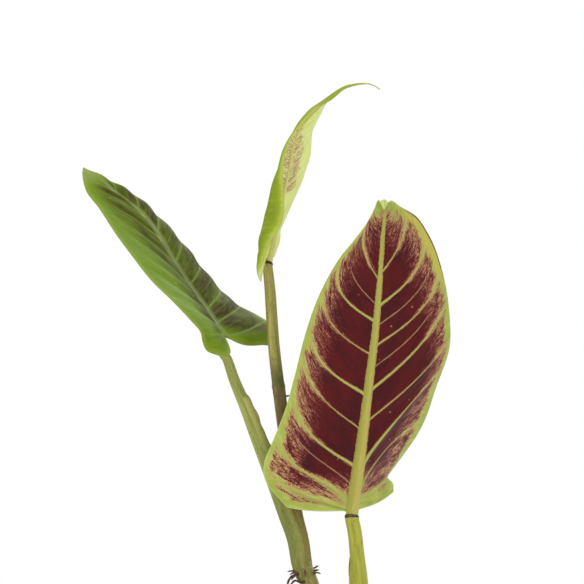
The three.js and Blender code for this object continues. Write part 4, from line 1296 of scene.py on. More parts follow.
@dataclass
class Leaf:
    """A leaf: two quilted half blades on a midrib that stands out below."""

    name: str
    node: str
    slot: str
    shape: LeafShape
    underside: StreakedUnderside
    upperside: GreenUpperside
    rib: MidribSkin
    thickness: float = 0.6
    seam: float = 0.35
    columns: int = 52
    rows_between: int = 14
    crowding: float = 0.72
    column_crowding: float = 0.45
    near_bend: float = 0.7
    far_bend: float = 1.3
    pucker_reach: float = 0.952
    groove: float = 0.3
    thin_groove: float = 0.12
    thin_ridge: float = 0.15
    fillet: float = 0.3
    fillet_reach: float = 1.7
    tip_taper: float = 22.0
    rib_stations: int = 110
    rib_until: float = 0.985
    joined_tip: bool = True
    rib_sides: int = 22
    rib_crowding: float = 1.3
    vein_steps: int = 36
    rib_steps: int = 60
    margin_steps: int = 90

    def build(self, effects: Effects) -> Piece:
        """Makes the leaf and puts it in its node's place.

        Args:
            effects: Shared node groups.

        Returns:
            The finished leaf.
        """
        surface = Surface()
        self._add_half(surface, self.shape.left, Side.LEFT)
        self._add_half(surface, self.shape.right, Side.RIGHT)
        self._add_rib(surface)
        finishes = (self.underside, self.upperside, self.rib)
        leaf = surface.build(self.name, [finish.build(effects) for finish in finishes])
        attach(leaf, "root")
        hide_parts(self.node)
        return leaf

    def foot(self) -> tuple[Array, Array]:
        """Finds where the stalk meets the midrib.

        Returns:
            The midrib's start, and the direction in which it leaves the stalk.
        """
        line = self.shape.rib_line()
        start = line.at(np.array([0.0]))[0]
        start[2] -= self.shape.rib_sink * (self.shape.rib_base - self.shape.rib_tip)
        heading = line.heading(np.array([0.0]))[0] @ self.shape.axes()
        return self.shape.placed(start), heading

    def _places(self, half: HalfBlade) -> Array:
        """Crowds the rows towards the side veins and sets them on the thin ones.

        Args:
            half: The half blade.

        Returns:
            The rows' places, a whole number on each side vein.
        """
        share = np.arange(self.rows_between) / self.rows_between
        share = share - self.crowding * np.sin(FULL_TURN * share) / FULL_TURN
        places = (np.arange(len(half.veins))[:, None] + share).ravel()
        places = np.append(places, len(half.veins))
        for thin in half.thin_veins:
            places[np.abs(places - thin.place).argmin()] = thin.place
        return places

    def _rows(self, half: HalfBlade, side: Side, places: Array, shares: Array) -> Array:
        """Lays rows of points from the midline to the margin.

        Args:
            half: The half blade.
            side: Which half it is.
            places: The rows' places, a whole number on each side vein.
            shares: The points' places within a row.

        Returns:
            Points by row and column, in the leaf's axes.
        """
        midline, margin = Spline(self.shape.midline), Spline(half.margin)
        veins = [*half.veins, Vein(1, 1)]
        marks = np.arange(len(veins))

        def between(key: str) -> Array:
            """Reads one size of the veins at the rows' places."""
            return np.interp(places, marks, [getattr(vein, key) for vein in veins])

        first = midline.at(between("start"))
        first[:, 1] += side.value * self.seam * (1 - ramp(0.9, 1.0, between("start")))
        last = margin.at(between("end"))
        bend = np.stack([-between("sweep"), side.value * between("bulge"), between("arch")], -1)
        second = first + (last - first) / 3 + bend * self.near_bend
        second[:, 0] += between("rise")
        third = first + (last - first) * 2 / 3 + bend * self.far_bend
        t = shares[None, :, None]
        first, second, third, last = (part[:, None] for part in (first, second, third, last))
        return (1 - t) ** 3 * first + 3 * (1 - t) ** 2 * t * second + 3 * (1 - t) * t**2 * third + t**3 * last

    def _normals(self, points: Array) -> Array:
        """Finds the sheet's directions, the same for all points at one spot.

        Args:
            points: Points by row and column.

        Returns:
            Directions square to the sheet, by row and column.
        """
        rows, columns = points.shape[:2]
        flat = points.reshape(-1, 3)
        faces = grid_faces(rows, columns)
        triangles = np.vstack([faces[:, [0, 1, 2]], faces[:, [0, 2, 3]]])
        corner = [flat[triangles[:, index]] for index in range(3)]
        sums = np.zeros_like(flat)
        across = np.cross(corner[1] - corner[0], corner[2] - corner[0])
        for index in range(3):
            np.add.at(sums, triangles[:, index], across)
        _, same = np.unique(np.round(flat, 3), axis=0, return_inverse=True)
        same = same.ravel()
        shared = np.zeros((same.max() + 1, 3))
        np.add.at(shared, same, sums)
        return unit(shared[same]).reshape(rows, columns, 3)

    def _join_at_tip(
        self, half: HalfBlade, places: Array, shares: Array, normals: Array
    ) -> Array:
        """Turns the directions beside the midline near the tip so that both halves meet there.

        Args:
            half: The half blade.
            places: The rows' places.
            shares: The points' places within a row.
            normals: Directions by row and column.

        Returns:
            The new directions.
        """
        marks = np.arange(len(half.veins) + 1)
        start = np.interp(places, marks, [*(vein.start for vein in half.veins), 1.0])
        level = unit(np.cross(Spline(self.shape.midline).heading(start), (0.0, 1.0, 0.0)))
        weight = ramp(0.7, 0.86, start)[:, None] * np.exp(-((shares / 0.35) ** 2))[None]
        return unit(normals + weight[..., None] * 4 * level[:, None])

    def _add_half(self, surface: Surface, half: HalfBlade, side: Side) -> None:
        """Adds one half blade, its two faces and its rim.

        Args:
            surface: Gathers the leaf's patches.
            half: The half blade.
            side: Which half it is.
        """
        places = self._places(half)
        even = np.linspace(0, 1, self.columns + 1)
        shares = even - self.column_crowding * np.sin(FULL_TURN * even) / FULL_TURN
        sheet = self._rows(half, side, places, shares)
        normals = self._normals(sheet) * -side.value
        if self.joined_tip:
            normals = self._join_at_tip(half, places, shares, normals)
        held = self._distances(half, side, sheet)
        ridge, thin_ridge = held.pop("ridge"), held.pop("thin_ridge")
        near_tip = ramp(1.0, self.tip_taper, held["tip_gap"])
        fold = np.sin(math.pi * (places % 1.0)) ** 2
        fade = np.sin(math.pi * np.minimum(1, shares / self.pucker_reach))
        pucker = self.shape.pucker * fold[:, None] * fade[None] * near_tip
        thick = self.thickness / 2 * (1 - 0.5 * ramp(0.97, 1.0, shares))[None] * (0.35 + 0.65 * near_tip)
        fillet = self.fillet * held.pop("radius") * near_tip
        fillet = fillet * np.exp(-((held["rib_gap"] / self.fillet_reach) ** 2))
        ridge, thin_ridge = ridge * near_tip, thin_ridge * near_tip
        sunken = self.groove * ridge + self.thin_groove * thin_ridge
        raised = self.shape.ridge * ridge + self.thin_ridge * thin_ridge + fillet
        upper = self.shape.placed(sheet + normals * (pucker + thick - sunken)[..., None])
        lower = self.shape.placed(sheet + normals * (pucker - thick - raised)[..., None])
        faces = grid_faces(*sheet.shape[:2])
        values = {key: value.ravel() for key, value in held.items()}
        surface.add(lower, faces, 0, **values)
        surface.add(upper, faces[:, ::-1], 1, **values)
        for cut in (np.s_[:, -1], np.s_[0, :], np.s_[:, 0]):
            strip = np.stack([lower[cut], upper[cut]])
            doubled = {key: np.tile(value[cut], 2) for key, value in held.items()}
            surface.add(strip, grid_faces(2, strip.shape[1]), 1, **doubled)

    def _distances(self, half: HalfBlade, side: Side, sheet: Array) -> dict[str, Array]:
        """Measures each point's distances, in millimetres, and the height of the vein that it lies on.

        Args:
            half: The half blade.
            side: Which half it is.
            sheet: Points by row and column.

        Returns:
            Values by name, by row and column.
        """
        flat = sheet.reshape(-1, 3)
        values = self._vein_distances(half, side, flat)
        rib_gap, part = distance_to_line(flat, self.shape.rib_line().at(np.linspace(0, 1, self.rib_steps)))
        values["radius"] = self.shape.rib_radius(part)
        values["rib_gap"] = rib_gap - values["radius"]
        inner_edge = self._rows(half, side, np.array([0.0]), np.linspace(0, 1, self.vein_steps))[0]
        border = np.vstack([inner_edge, Spline(half.margin).at(np.linspace(0, 1, self.margin_steps))])
        values["margin_gap"], _ = distance_to_line(flat, border)
        values["tip_gap"] = np.linalg.norm(flat - np.asarray(half.margin[-1], float), axis=1)
        middle = sheet[:, sheet.shape[1] // 2]
        passed = np.concatenate([[0.0], np.cumsum(np.linalg.norm(np.diff(middle, axis=0), axis=1))])
        values["across"] = np.broadcast_to(passed[:, None] * side.value, sheet.shape[:2])
        stretch = np.linalg.norm(np.diff(sheet, axis=1), axis=-1)
        values["along"] = np.concatenate([np.zeros((len(sheet), 1)), np.cumsum(stretch, axis=1)], axis=1)
        return {key: value.reshape(sheet.shape[:2]) for key, value in values.items()}

    def _vein_distances(self, half: HalfBlade, side: Side, flat: Array) -> dict[str, Array]:
        """Measures how far points lie from the edges of the side veins and of the thin ones.

        Args:
            half: The half blade.
            side: Which half it is.
            flat: Points of the sheet, one a row.

        Returns:
            Both distances in millimetres, and both veins' height from 0 to 1.
        """
        steps = np.linspace(0, 1, self.vein_steps)
        vein_edge, thin_edge = (np.full(len(flat), FAR_AWAY) for _ in range(2))
        ridge, thin_ridge = (np.zeros(len(flat)) for _ in range(2))
        lines = self._rows(half, side, np.arange(len(half.veins), dtype=float), steps)
        for vein, line in zip(half.veins, lines):
            gap, part = distance_to_line(flat, line)
            reached = part * np.linalg.norm(np.diff(line, axis=0), axis=1).sum()
            width = vein.width / 2 * (0.28 + 0.72 * (1 - part) ** 0.8 + 0.75 * np.exp(-reached / 3.5))
            vein_edge = np.minimum(vein_edge, gap - width)
            height = np.exp(-((gap / (1.15 * width + 0.25)) ** 2)) * (1 - 0.8 * part) * min(1, vein.width)
            ridge = np.maximum(ridge, height)
        for thin in half.thin_veins:
            gap, part = distance_to_line(flat, self._rows(half, side, np.array([thin.place]), steps)[0])
            beyond = np.maximum(part - thin.reach, 0) * 30
            thin_edge = np.minimum(thin_edge, gap + beyond - thin.width / 2 * (1.1 - 0.5 * part))
            thin_ridge = np.maximum(thin_ridge, np.exp(-((gap / 0.5) ** 2)) * (1 - part) / (1 + beyond))
        return {"vein_edge": vein_edge, "thin_edge": thin_edge, "ridge": ridge, "thin_ridge": thin_ridge}

    def _add_rib(self, surface: Surface) -> None:
        """Adds the midrib, round below and almost level with the blade above.

        Args:
            surface: Gathers the leaf's patches.
        """
        even = np.linspace(0, 1, self.rib_stations)
        shares = (1 - (1 - even) ** self.rib_crowding) * self.rib_until
        tube = Tube(self.shape.rib_line(), shares, (0, 1, 0), self.rib_sides)
        radius = self.shape.rib_radius(shares)
        sink = self.shape.rib_sink * (radius - self.shape.rib_tip)
        tube.middle[:, 2] -= sink
        slim = (radius * (0.45 + 0.55 * ramp(0.0, 0.16, 1 - shares)))[:, None]
        crown = ((sink + self.thickness / 2 + 0.12) / radius)[:, None]
        free = ramp(0.02, 0.08, shares)[:, None]
        cos, sin = np.cos(tube.angle), np.sin(tube.angle)
        upward = np.where(sin[None] > 0, 1 + (crown - 1) * free, 1.0)
        above = 1 - 0.5 * free * np.clip(sin, 0, 1)[None] ** 0.5
        out = (slim * above * cos)[..., None] * tube.right[:, None]
        up = (slim * upward * sin)[..., None] * tube.up[:, None]
        points, faces = capped(tube.middle[:, None] + out + up)
        values = tube.values() | {"share": np.append(np.repeat(shares, self.rib_sides), [0, 1])}
        surface.add(self.shape.placed(points), faces, 2, **values)


@dataclass(frozen=True)
class Wing:
    """Thin edge of a stalk's sheath, from the foot up to its shoulder, lower below a given height."""

    towards: float
    shoulder: float
    height: float
    ragged: float = 0.45
    rise: float = 14.0
    full_above: float = 0.0
    half_thickness: float = 0.16
    sunk: float = 0.3
    steps: int = 5
    body: Colour = srgb(186, 188, 116)
    dry: Colour = srgb(160, 138, 84)

    def growth(self, height: Array) -> Array:
        """Gives the share of the wing's full height at heights over the ground."""
        grown = np.clip((self.shoulder - height) / self.rise, 0, 1) ** 0.6
        return grown * (0.3 + 0.7 * ramp(self.full_above - 25, self.full_above, height))


@dataclass
class Stalk:
    """A round stalk or stem along its route of (x, y, z, radius), from below to the leaf."""

    name: str
    node: str
    slot: str
    route: tuple[Point, ...]
    skin: StalkSkin
    top: tuple[Array, Array] | None = None
    top_radius: float = 3.0
    wing: Wing | None = None
    rings: tuple[Point, ...] = ()
    stub: tuple[Point, ...] = ()
    ribbing: float = 0.06
    sides: int = 40
    step: float = 1.3
    collar: float = 1.15
    collar_rings: int = 7
    smoothing: int = 7
    stub_radius: float = 0.75
    stub_taper: float = 0.35
    stub_rings: int = 8
    stub_sides: int = 12

    def build(self, effects: Effects) -> Piece:
        """Makes the stalk and puts it in its node's place.

        Args:
            effects: Shared node groups.

        Returns:
            The finished stalk.
        """
        surface = Surface()
        route = [*self.route, *self._top_points()]
        spline = Spline([point[:3] for point in route])
        shares = np.linspace(0, 1, max(8, round(spline.length / self.step)))
        radius = self._radius(spline, [point[3] for point in route], shares)
        tube = Tube(spline, shares, (1, 0, 0), self.sides)
        self._add_skin(surface, tube, radius)
        if self.top is not None:
            self._add_collar(surface, spline)
        membrane = Membrane(self.name + " membrane")
        if self.wing:
            self._add_wing(surface, tube, radius)
            membrane = Membrane(self.name + " membrane", self.wing.body, self.wing.dry)
        if self.stub:
            self._add_stub(surface)
        dark = BarkFinish(self.name + " collar", srgb(44, 38, 24), srgb(92, 80, 44), 900.0, relief=0.0001)
        finishes = (self.skin, membrane, dark)
        stalk = surface.build(self.name, [finish.build(effects) for finish in finishes])
        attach(stalk, "root")
        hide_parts(self.node)
        return stalk

    def _top_points(self) -> list[Point]:
        """Ends the route just short of the leaf's midrib and square to it.

        Returns:
            The last two points with their radius, or none where the stalk carries no leaf.
        """
        if self.top is None:
            return []
        start, heading = self.top
        return [(*(start - heading * below), self.top_radius) for below in (1.6, 0.3)]

    def _radius(self, spline: Spline, radii: Sequence[float], shares: Array) -> Array:
        """Finds the radius along the route, with the swollen rings of old leaf scars.

        Args:
            spline: The route.
            radii: Radius at each point of the route.
            shares: Shares of the length.

        Returns:
            The radius at each share.
        """
        radius = np.interp(spline.knot_place(shares), np.arange(len(radii)), radii)
        padded = np.pad(radius, self.smoothing // 2, mode="edge")
        radius = np.convolve(padded, np.ones(self.smoothing) / self.smoothing, mode="valid")
        height = spline.at(shares)[:, 2]
        for level, swell, spread in self.rings:
            radius = radius + swell * np.exp(-(((height - level) / spread) ** 2))
        return radius

    def _add_skin(self, surface: Surface, tube: Tube, radius: Array) -> None:
        """Adds the stalk's skin, finely ribbed along its length and thicker under the wing.

        Args:
            surface: Gathers the stalk's patches.
            tube: The stalk's rings.
            radius: Radius of each ring.
        """
        waver = 0.7 * np.sin(tube.reached / 23)[:, None]
        angle = tube.angle[None]
        ribs = np.sin(9 * angle + waver) * 0.6 + np.sin(17 * angle - 2 * waver + 1) * 0.4
        unevenness = 0.007 * radius * np.sin(tube.reached / 11 + 1.3)
        reach = radius[:, None] + unevenness[:, None] + self.ribbing * ribs
        if self.wing:
            turned = np.maximum(0, np.cos(tube.angle - math.radians(self.wing.towards)))[None]
            grown = self.wing.growth(tube.middle[:, 2])[:, None]
            reach = reach + 0.55 * self.wing.height * grown * turned**8
        surface.add(*tube.closed(reach), 0, **tube.values())

    def _add_collar(self, surface: Surface, spline: Spline) -> None:
        """Adds the narrow dark ring where the leaf joins the stalk.

        Args:
            surface: Gathers the stalk's patches.
            spline: The stalk's route.
        """
        shares = 1 - np.linspace(self.collar + 0.2, 0.0, self.collar_rings) / spline.length
        tube = Tube(spline, shares, (1, 0, 0), self.sides)
        swell = np.sin(np.linspace(0, math.pi, self.collar_rings)) ** 0.6
        reach = (self.top_radius - 0.2 + 0.5 * swell)[:, None] + 0.05 * np.sin(5 * tube.angle + 0.6)
        points, faces = tube.closed(reach)
        surface.add(points, faces, 2, tint=np.zeros(len(points)))

    def _add_wing(self, surface: Surface, tube: Tube, radius: Array) -> None:
        """Adds the sheath's free edge as a thin wavy strip that curls a little.

        Args:
            surface: Gathers the stalk's patches.
            tube: The stalk's rings.
            radius: Radius of each ring.
        """
        keep = tube.middle[:, 2] < self.wing.shoulder
        middle, right, up, radius = tube.middle[keep], tube.right[keep], tube.up[keep], radius[keep]
        length = tube.reached[keep]
        ragged = 1 + self.wing.ragged * (np.sin(length / 2.3) * np.sin(length / 5.9 + 1) - 0.2)
        tall = self.wing.height * 1.25 * self.wing.growth(middle[:, 2]) * np.maximum(ragged, 0.25)
        curl = 0.16 * np.sin(length / 7.5) + 0.1
        steps = np.linspace(0, 1, self.wing.steps)
        rows = []
        for face in (-1, 1):
            for step in steps if face < 0 else steps[::-1]:
                thick = face * self.wing.half_thickness * (1 - 0.6 * step)
                turn = math.radians(self.wing.towards) + curl * step**2 + thick / radius
                out = np.cos(turn)[:, None] * right + np.sin(turn)[:, None] * up
                reach = radius - self.wing.sunk + (tall + self.wing.sunk) * step
                rows.append(middle + reach[:, None] * out)
        rings = np.stack(rows, axis=1)
        rim = np.broadcast_to(np.concatenate([steps, steps[::-1]]), rings.shape[:2])
        surface.add(*capped(rings), 1, rim=np.append(rim.ravel(), [0, 0]))

    def _add_stub(self, surface: Surface) -> None:
        """Adds the dry end of a root that broke off.

        Args:
            surface: Gathers the stalk's patches.
        """
        shares = np.linspace(0, 1, self.stub_rings)
        tube = Tube(Spline(self.stub), shares, (0, 0, 1), self.stub_sides)
        reach = (self.stub_radius - self.stub_taper * shares)[:, None] * (1 + 0.18 * np.sin(3 * tube.angle))
        points, faces = tube.closed(reach)
        surface.add(points, faces, 2, tint=np.full(len(points), 0.9))


@dataclass
class AerialRoots:
    """The node's short aerial roots, wiry and bent."""

    routes: tuple[tuple[Point, ...], ...] = (
        ((-13, -2, 172.8), (-18, -3, 173), (-21.4, -4, 172.8)),
        ((-13, -3, 172), (-17.6, -5, 172), (-20, -6.4, 170.8)),
        ((-12, -3, 171), (-17.5, -5.5, 171), (-20.6, -7, 168.6), (-22, -7.4, 163), (-21.4, -7, 156)),
        ((-10, -3, 167), (-14, -6, 166.9), (-17.2, -7, 167.8), (-19.4, -7.4, 165.4), (-20.4, -7, 160.5)),
        ((-10, 1, 173), (-6, 1.5, 174.2), (-3.6, 1.5, 175.4)),
        ((-10, -1, 172), (-6, -2.4, 173), (-3.4, -3.4, 173.4)),
        ((-9, -2, 170.5), (-5, -4, 172), (-2.8, -5.2, 171.6)),
        ((-12, -3, 173), (-11.6, -6.6, 172.2), (-11.2, -8.4, 170)),
        ((-12, 3, 173), (-13.4, 7, 173.2), (-15.6, 8.6, 171.4), (-16.4, 9, 167)),
        ((-10, 3, 171.5), (-8.4, 7, 171), (-6.6, 9, 168.4), (-6.2, 9.4, 163.4)),
        ((-12, 2, 170), (-17, 5, 169.4), (-19.6, 6.4, 166.6)),
    )
    radius: float = 0.8
    taper: float = 0.45
    wander: float = 0.05
    knobs: float = 0.12
    roughness: float = 0.08
    ring_gap: float = 0.5
    sides: int = 12
    seed: int = 11
    skin: BarkFinish = BarkFinish("root skin", srgb(44, 28, 20), srgb(110, 72, 50), 1300.0, relief=0.00025)

    def build(self, effects: Effects) -> Piece:
        """Makes all roots as one piece.

        Args:
            effects: Shared node groups.

        Returns:
            The finished roots.
        """
        surface = Surface()
        draw = np.random.default_rng(self.seed)
        for route in self.routes:
            self._add_root(surface, Spline(route), draw)
        roots = surface.build("aerial_roots", [self.skin.build(effects)])
        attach(roots, "root")
        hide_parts("stem")
        return roots

    def _add_root(self, surface: Surface, spline: Spline, draw: np.random.Generator) -> None:
        """Adds one root, knobbly, blunt at its tip and a little off its route.

        Args:
            surface: Gathers the roots' patches.
            spline: The root's route.
            draw: Seeded source of chance.
        """
        shares = np.linspace(0, 1, max(12, round(spline.length / self.ring_gap)))
        tube = Tube(spline, shares, (0.2, 0.4, 1), self.sides)
        steps = draw.normal(0, self.wander, (len(shares), 3))
        tube.middle += np.cumsum(steps, axis=0) * shares[:, None]
        knobs = 1 + self.knobs * np.sin(shares * spline.length * 1.9 + draw.uniform(0, 6))
        tip = np.clip((1 - shares) * spline.length / 1.2, 0.12, 1) ** 0.5
        reach = self.radius * (1 - self.taper * shares) * knobs * tip
        rough = 1 + self.roughness * draw.normal(size=(len(shares), self.sides))
        points, faces = tube.closed(reach[:, None] * rough)
        surface.add(points, faces, 0, tint=np.full(len(points), draw.uniform(-0.2, 0.5)))


@dataclass(frozen=True)
class Lumps:
    """Loose lumps of one kind, with their smallest and largest half length."""

    count: int
    sizes: Span
    slot: int
    fineness: int
    flat: float

    def shape(self) -> tuple[Array, Array]:
        """Makes the ball that every lump is bent from.

        Returns:
            Its vertices and its faces.
        """
        ball = bmesh.new()
        bmesh.ops.create_icosphere(ball, subdivisions=self.fineness, radius=1.0)
        verts = np.array([vertex.co[:] for vertex in ball.verts])
        faces = np.array([[vertex.index for vertex in face.verts] for face in ball.faces])
        ball.free()
        return verts, faces


@dataclass
class PottingMix:
    """Bark, fibre and a little perlite, heaped a touch round the stem."""

    top: float = 104.0
    crown: float = 3.0
    radius: float = 58.4
    side: tuple[Point, ...] = ((35.6, 9.3), (52.6, 90.0), (56.6, 94.0))
    lumps: tuple[Lumps, ...] = (
        Lumps(230, (3.2, 6.2), 1, 2, 0.42),
        Lumps(620, (1.0, 2.4), 1, 1, 0.42),
        Lumps(46, (1.0, 1.9), 2, 2, 0.8),
    )
    clear_of: tuple[Point, ...] = ((0.4, 1.0, 9.0), (7.6, -11.2, 8.0))
    bed_grain: float = 0.32
    lump_bumps: float = 0.13
    sides: int = 150
    rings: int = 44
    seed: int = 23
    finishes: tuple[BarkFinish, ...] = (
        BarkFinish("mix bed", srgb(34, 25, 19), srgb(78, 58, 42), 700.0, relief=0.0008),
        BarkFinish("bark lumps", srgb(58, 38, 26), srgb(132, 92, 62), 420.0, relief=0.0006),
        BarkFinish("perlite", srgb(206, 200, 188), srgb(238, 236, 230), 900.0, relief=0.0003),
    )

    def build(self, effects: Effects) -> Piece:
        """Makes the mix with the lumps that lie in its surface.

        Args:
            effects: Shared node groups.

        Returns:
            The finished mix.
        """
        surface = Surface()
        draw = np.random.default_rng(self.seed)
        self._add_bed(surface, draw)
        for lumps in self.lumps:
            self._scatter(surface, draw, lumps)
        mix = surface.build("potting_mix", [finish.build(effects) for finish in self.finishes])
        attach(mix, "root")
        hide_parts("soil")
        return mix

    def _level(self, x: Array, y: Array) -> Array:
        """Finds how high the bed lies.

        Args:
            x: Places to the right.
            y: Places away from the viewer.

        Returns:
            The bed's height at each place.
        """
        inwards = 1 - np.clip(np.hypot(x, y) / self.radius, 0, 1)
        waves = 0.9 * np.sin(x / 7.3 + 1) * np.cos(y / 6.1) + 0.6 * np.sin(x / 3.1 - y / 4.3)
        return self.top + self.crown * (1 - (1 - inwards) ** 2) + waves * np.clip(inwards * 5, 0, 1)

    def _add_bed(self, surface: Surface, draw: np.random.Generator) -> None:
        """Adds the fine mix that fills the pot, as a closed body.

        Args:
            surface: Gathers the mix's patches.
            draw: Seeded source of chance.
        """
        outwards = np.linspace(0, 1, self.rings)[::-1] * self.radius
        bed = turned(outwards[:, None], np.zeros((self.rings, 1)), self.sides)
        x, y = bed[..., 0], bed[..., 1]
        free = np.clip(1 - outwards / self.radius, 0, 0.1)[:, None] * 10
        bed[..., 2] = self._level(x, y) + draw.normal(0, self.bed_grain, x.shape) * free
        bed[-1, :, 2] = bed[-1, :, 2].mean()
        walls = np.array([(0.0, self.side[0][1]), *self.side])
        points = np.concatenate([turned(walls[:, :1], walls[:, 1:], self.sides), bed])
        surface.add(points, grid_faces(len(points), self.sides, closed=True), 0)

    def _scatter(self, surface: Surface, draw: np.random.Generator, lumps: Lumps) -> None:
        """Scatters lumps that lie half sunk in the bed.

        Args:
            surface: Gathers the mix's patches.
            draw: Seeded source of chance.
            lumps: Their number, sizes and kind.
        """
        verts, faces = lumps.shape()
        for _ in range(lumps.count):
            size = draw.uniform(*lumps.sizes)
            reach = (self.radius - size * 0.9) * math.sqrt(draw.uniform(0, 1))
            turn = draw.uniform(0, FULL_TURN)
            x, y = reach * math.cos(turn), reach * math.sin(turn)
            if any(math.hypot(x - cx, y - cy) < gap for cx, cy, gap in self.clear_of):
                continue
            chips = verts * (1 + draw.normal(0, self.lump_bumps, (len(verts), 1)))
            chips = np.sign(chips) * np.abs(chips) ** 0.8
            chips = chips * (size, size * draw.uniform(0.5, 0.85), size * lumps.flat * draw.uniform(0.6, 1.0))
            lean = Matrix.Rotation(draw.uniform(0, FULL_TURN), 3, "Z")
            lean = lean @ Matrix.Rotation(draw.normal(0, 0.35), 3, "X")
            lean = lean @ Matrix.Rotation(draw.normal(0, 0.3), 3, "Y")
            chips = chips @ np.array(lean).T
            level = float(self._level(np.array(x), np.array(y)))
            place = np.array([x, y, level + size * lumps.flat * draw.uniform(-0.15, 0.35)])
            surface.add(chips + place, faces, lumps.slot, tint=np.full(len(verts), draw.uniform(-0.5, 0.7)))


@dataclass
class ClayPot:
    """Plain flower pot, turned on the wheel, with three drain holes."""

    height: float = 118.0
    rim_radius: float = 65.0
    rim_height: float = 24.0
    body_top: float = 59.0
    foot: float = 42.0
    wall: float = 6.0
    floor: float = 9.0
    rounding: float = 2.0
    ledge: float = 4.0
    drain_radius: float = 5.0
    drain_circle: float = 21.0
    drains: int = 3
    sides: int = 144
    drain_sides: int = 40
    step: float = 1.4
    arc_points: int = 7
    throwing: Span = (0.11, 0.07)
    out_of_round: Span = (0.14, 0.08)
    inset: float = 0.25
    damp_from: float = 60.0
    damp_below: float = 5.0
    clay: FiredClay = field(default_factory=FiredClay)

    def build(self, effects: Effects) -> Piece:
        """Makes the pot.

        Args:
            effects: Shared node groups.

        Returns:
            The finished pot.
        """
        profile, worn = self._profile()
        reach, height, worn = profile[:, :1], profile[:, 1:], worn[:, None]
        angle = np.linspace(0, FULL_TURN, self.sides, endpoint=False)
        wide, narrow = self.throwing
        throwing = wide * np.sin(height / 1.9) + narrow * np.sin(height / 0.83 + 2)
        oval, lobed = self.out_of_round
        out_of_round = oval * np.sin(2 * angle + 0.5) + lobed * np.sin(3 * angle)
        body = np.clip(reach / 12, 0, 1)
        wobble = body * (throwing * (1 - worn) + out_of_round[None])
        points = turned(reach + wobble - self.inset * body, height, self.sides)
        places = {"edge": worn, "damp": ramp(self.damp_from, self.damp_below, height)}
        values = {key: np.broadcast_to(place, points.shape[:2]).ravel() for key, place in places.items()}
        surface = Surface()
        surface.add(points, grid_faces(len(points), self.sides, closed=True), 0, **values)
        pot = surface.build("clay_pot", [self.clay.build(effects)])
        self._drill(pot)
        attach(pot, "root")
        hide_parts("pot")
        return pot

    def _profile(self) -> tuple[Array, Array]:
        """Gives the turned outline from the middle of the foot round to the middle of the floor.

        Returns:
            Points of radius and height, and how worn the edge is at each, from 0 to 1.
        """
        ledge = self.height - self.rim_height
        r = self.rounding
        mouth = self.rim_radius - self.wall
        inner = self.body_top - self.wall

        def arc(x: float, y: float, start: float) -> list[Point]:
            """Gives a quarter of a rounded edge, with its wear."""
            turns = np.radians(start + 90 * np.linspace(0, 1, self.arc_points))
            return [(x + r * math.cos(turn), y + r * math.sin(turn), 1.0) for turn in turns]

        outline = np.array(
            [
                (0, 0, 0),
                *arc(self.foot - r, r, -90),
                (self.body_top, ledge, 0),
                *arc(self.rim_radius - r, ledge + r, -90),
                *arc(self.rim_radius - r, self.height - r, 0),
                *arc(mouth + r, self.height - r, 90),
                (inner + self.ledge, ledge, 0),
                (inner, ledge - self.ledge, 0),
                (self.foot - self.wall, self.floor, 0),
                (0, self.floor, 0),
            ]
        )
        outline, worn = outline[:, :2], outline[:, 2]
        fine, wear = [outline[0]], [0.0]
        for index in range(1, len(outline)):
            step = np.linalg.norm(outline[index] - outline[index - 1])
            for part in np.linspace(0, 1, max(1, math.ceil(step / self.step)) + 1)[1:]:
                fine.append(outline[index - 1] + (outline[index] - outline[index - 1]) * part)
                wear.append(worn[index] if part == 1 else min(worn[index], worn[index - 1]))
        return np.array(fine), np.array(wear)

    def _drill(self, pot: Piece) -> None:
        """Cuts the drain holes through the floor.

        Args:
            pot: The turned pot.
        """
        for count in range(self.drains):
            turn = FULL_TURN * count / self.drains
            place = (self.drain_circle * math.cos(turn) * MM, self.drain_circle * math.sin(turn) * MM, 0)
            size = {"radius1": self.drain_radius * MM, "radius2": self.drain_radius * MM}
            size["depth"] = 3 * self.floor * MM
            drill = bmesh.new()
            size["segments"] = self.drain_sides
            bmesh.ops.create_cone(drill, cap_ends=True, matrix=Matrix.Translation(place), **size)
            tool = add_shape("drill", drill)
            cut = pot.modifiers.new("drain", "BOOLEAN")
            cut.operation = "DIFFERENCE"
            cut.object = tool
            cut.solver = "EXACT"
            apply_modifiers(pot)
            bpy.data.objects.remove(tool)


def turned(radius: Array, height: Array, sides: int) -> Array:
    """Turns an outline round the upright axis.

    Args:
        radius: Radius by ring, and by side where it isn't the same all round.
        height: Height by ring.
        sides: Points of a ring.

    Returns:
        Points by ring and side.
    """
    angle = np.linspace(0, FULL_TURN, sides, endpoint=False)
    x, y = radius * np.cos(angle), radius * np.sin(angle)
    return np.stack([x, y, np.broadcast_to(height, x.shape)], -1)


def apply_modifiers(piece: Piece) -> None:
    """Turns a piece's modifiers into plain mesh.

    Args:
        piece: The piece.
    """
    depsgraph = bpy.context.evaluated_depsgraph_get()
    finished = bpy.data.meshes.new_from_object(piece.evaluated_get(depsgraph))
    piece.modifiers.clear()
    piece.data = finished


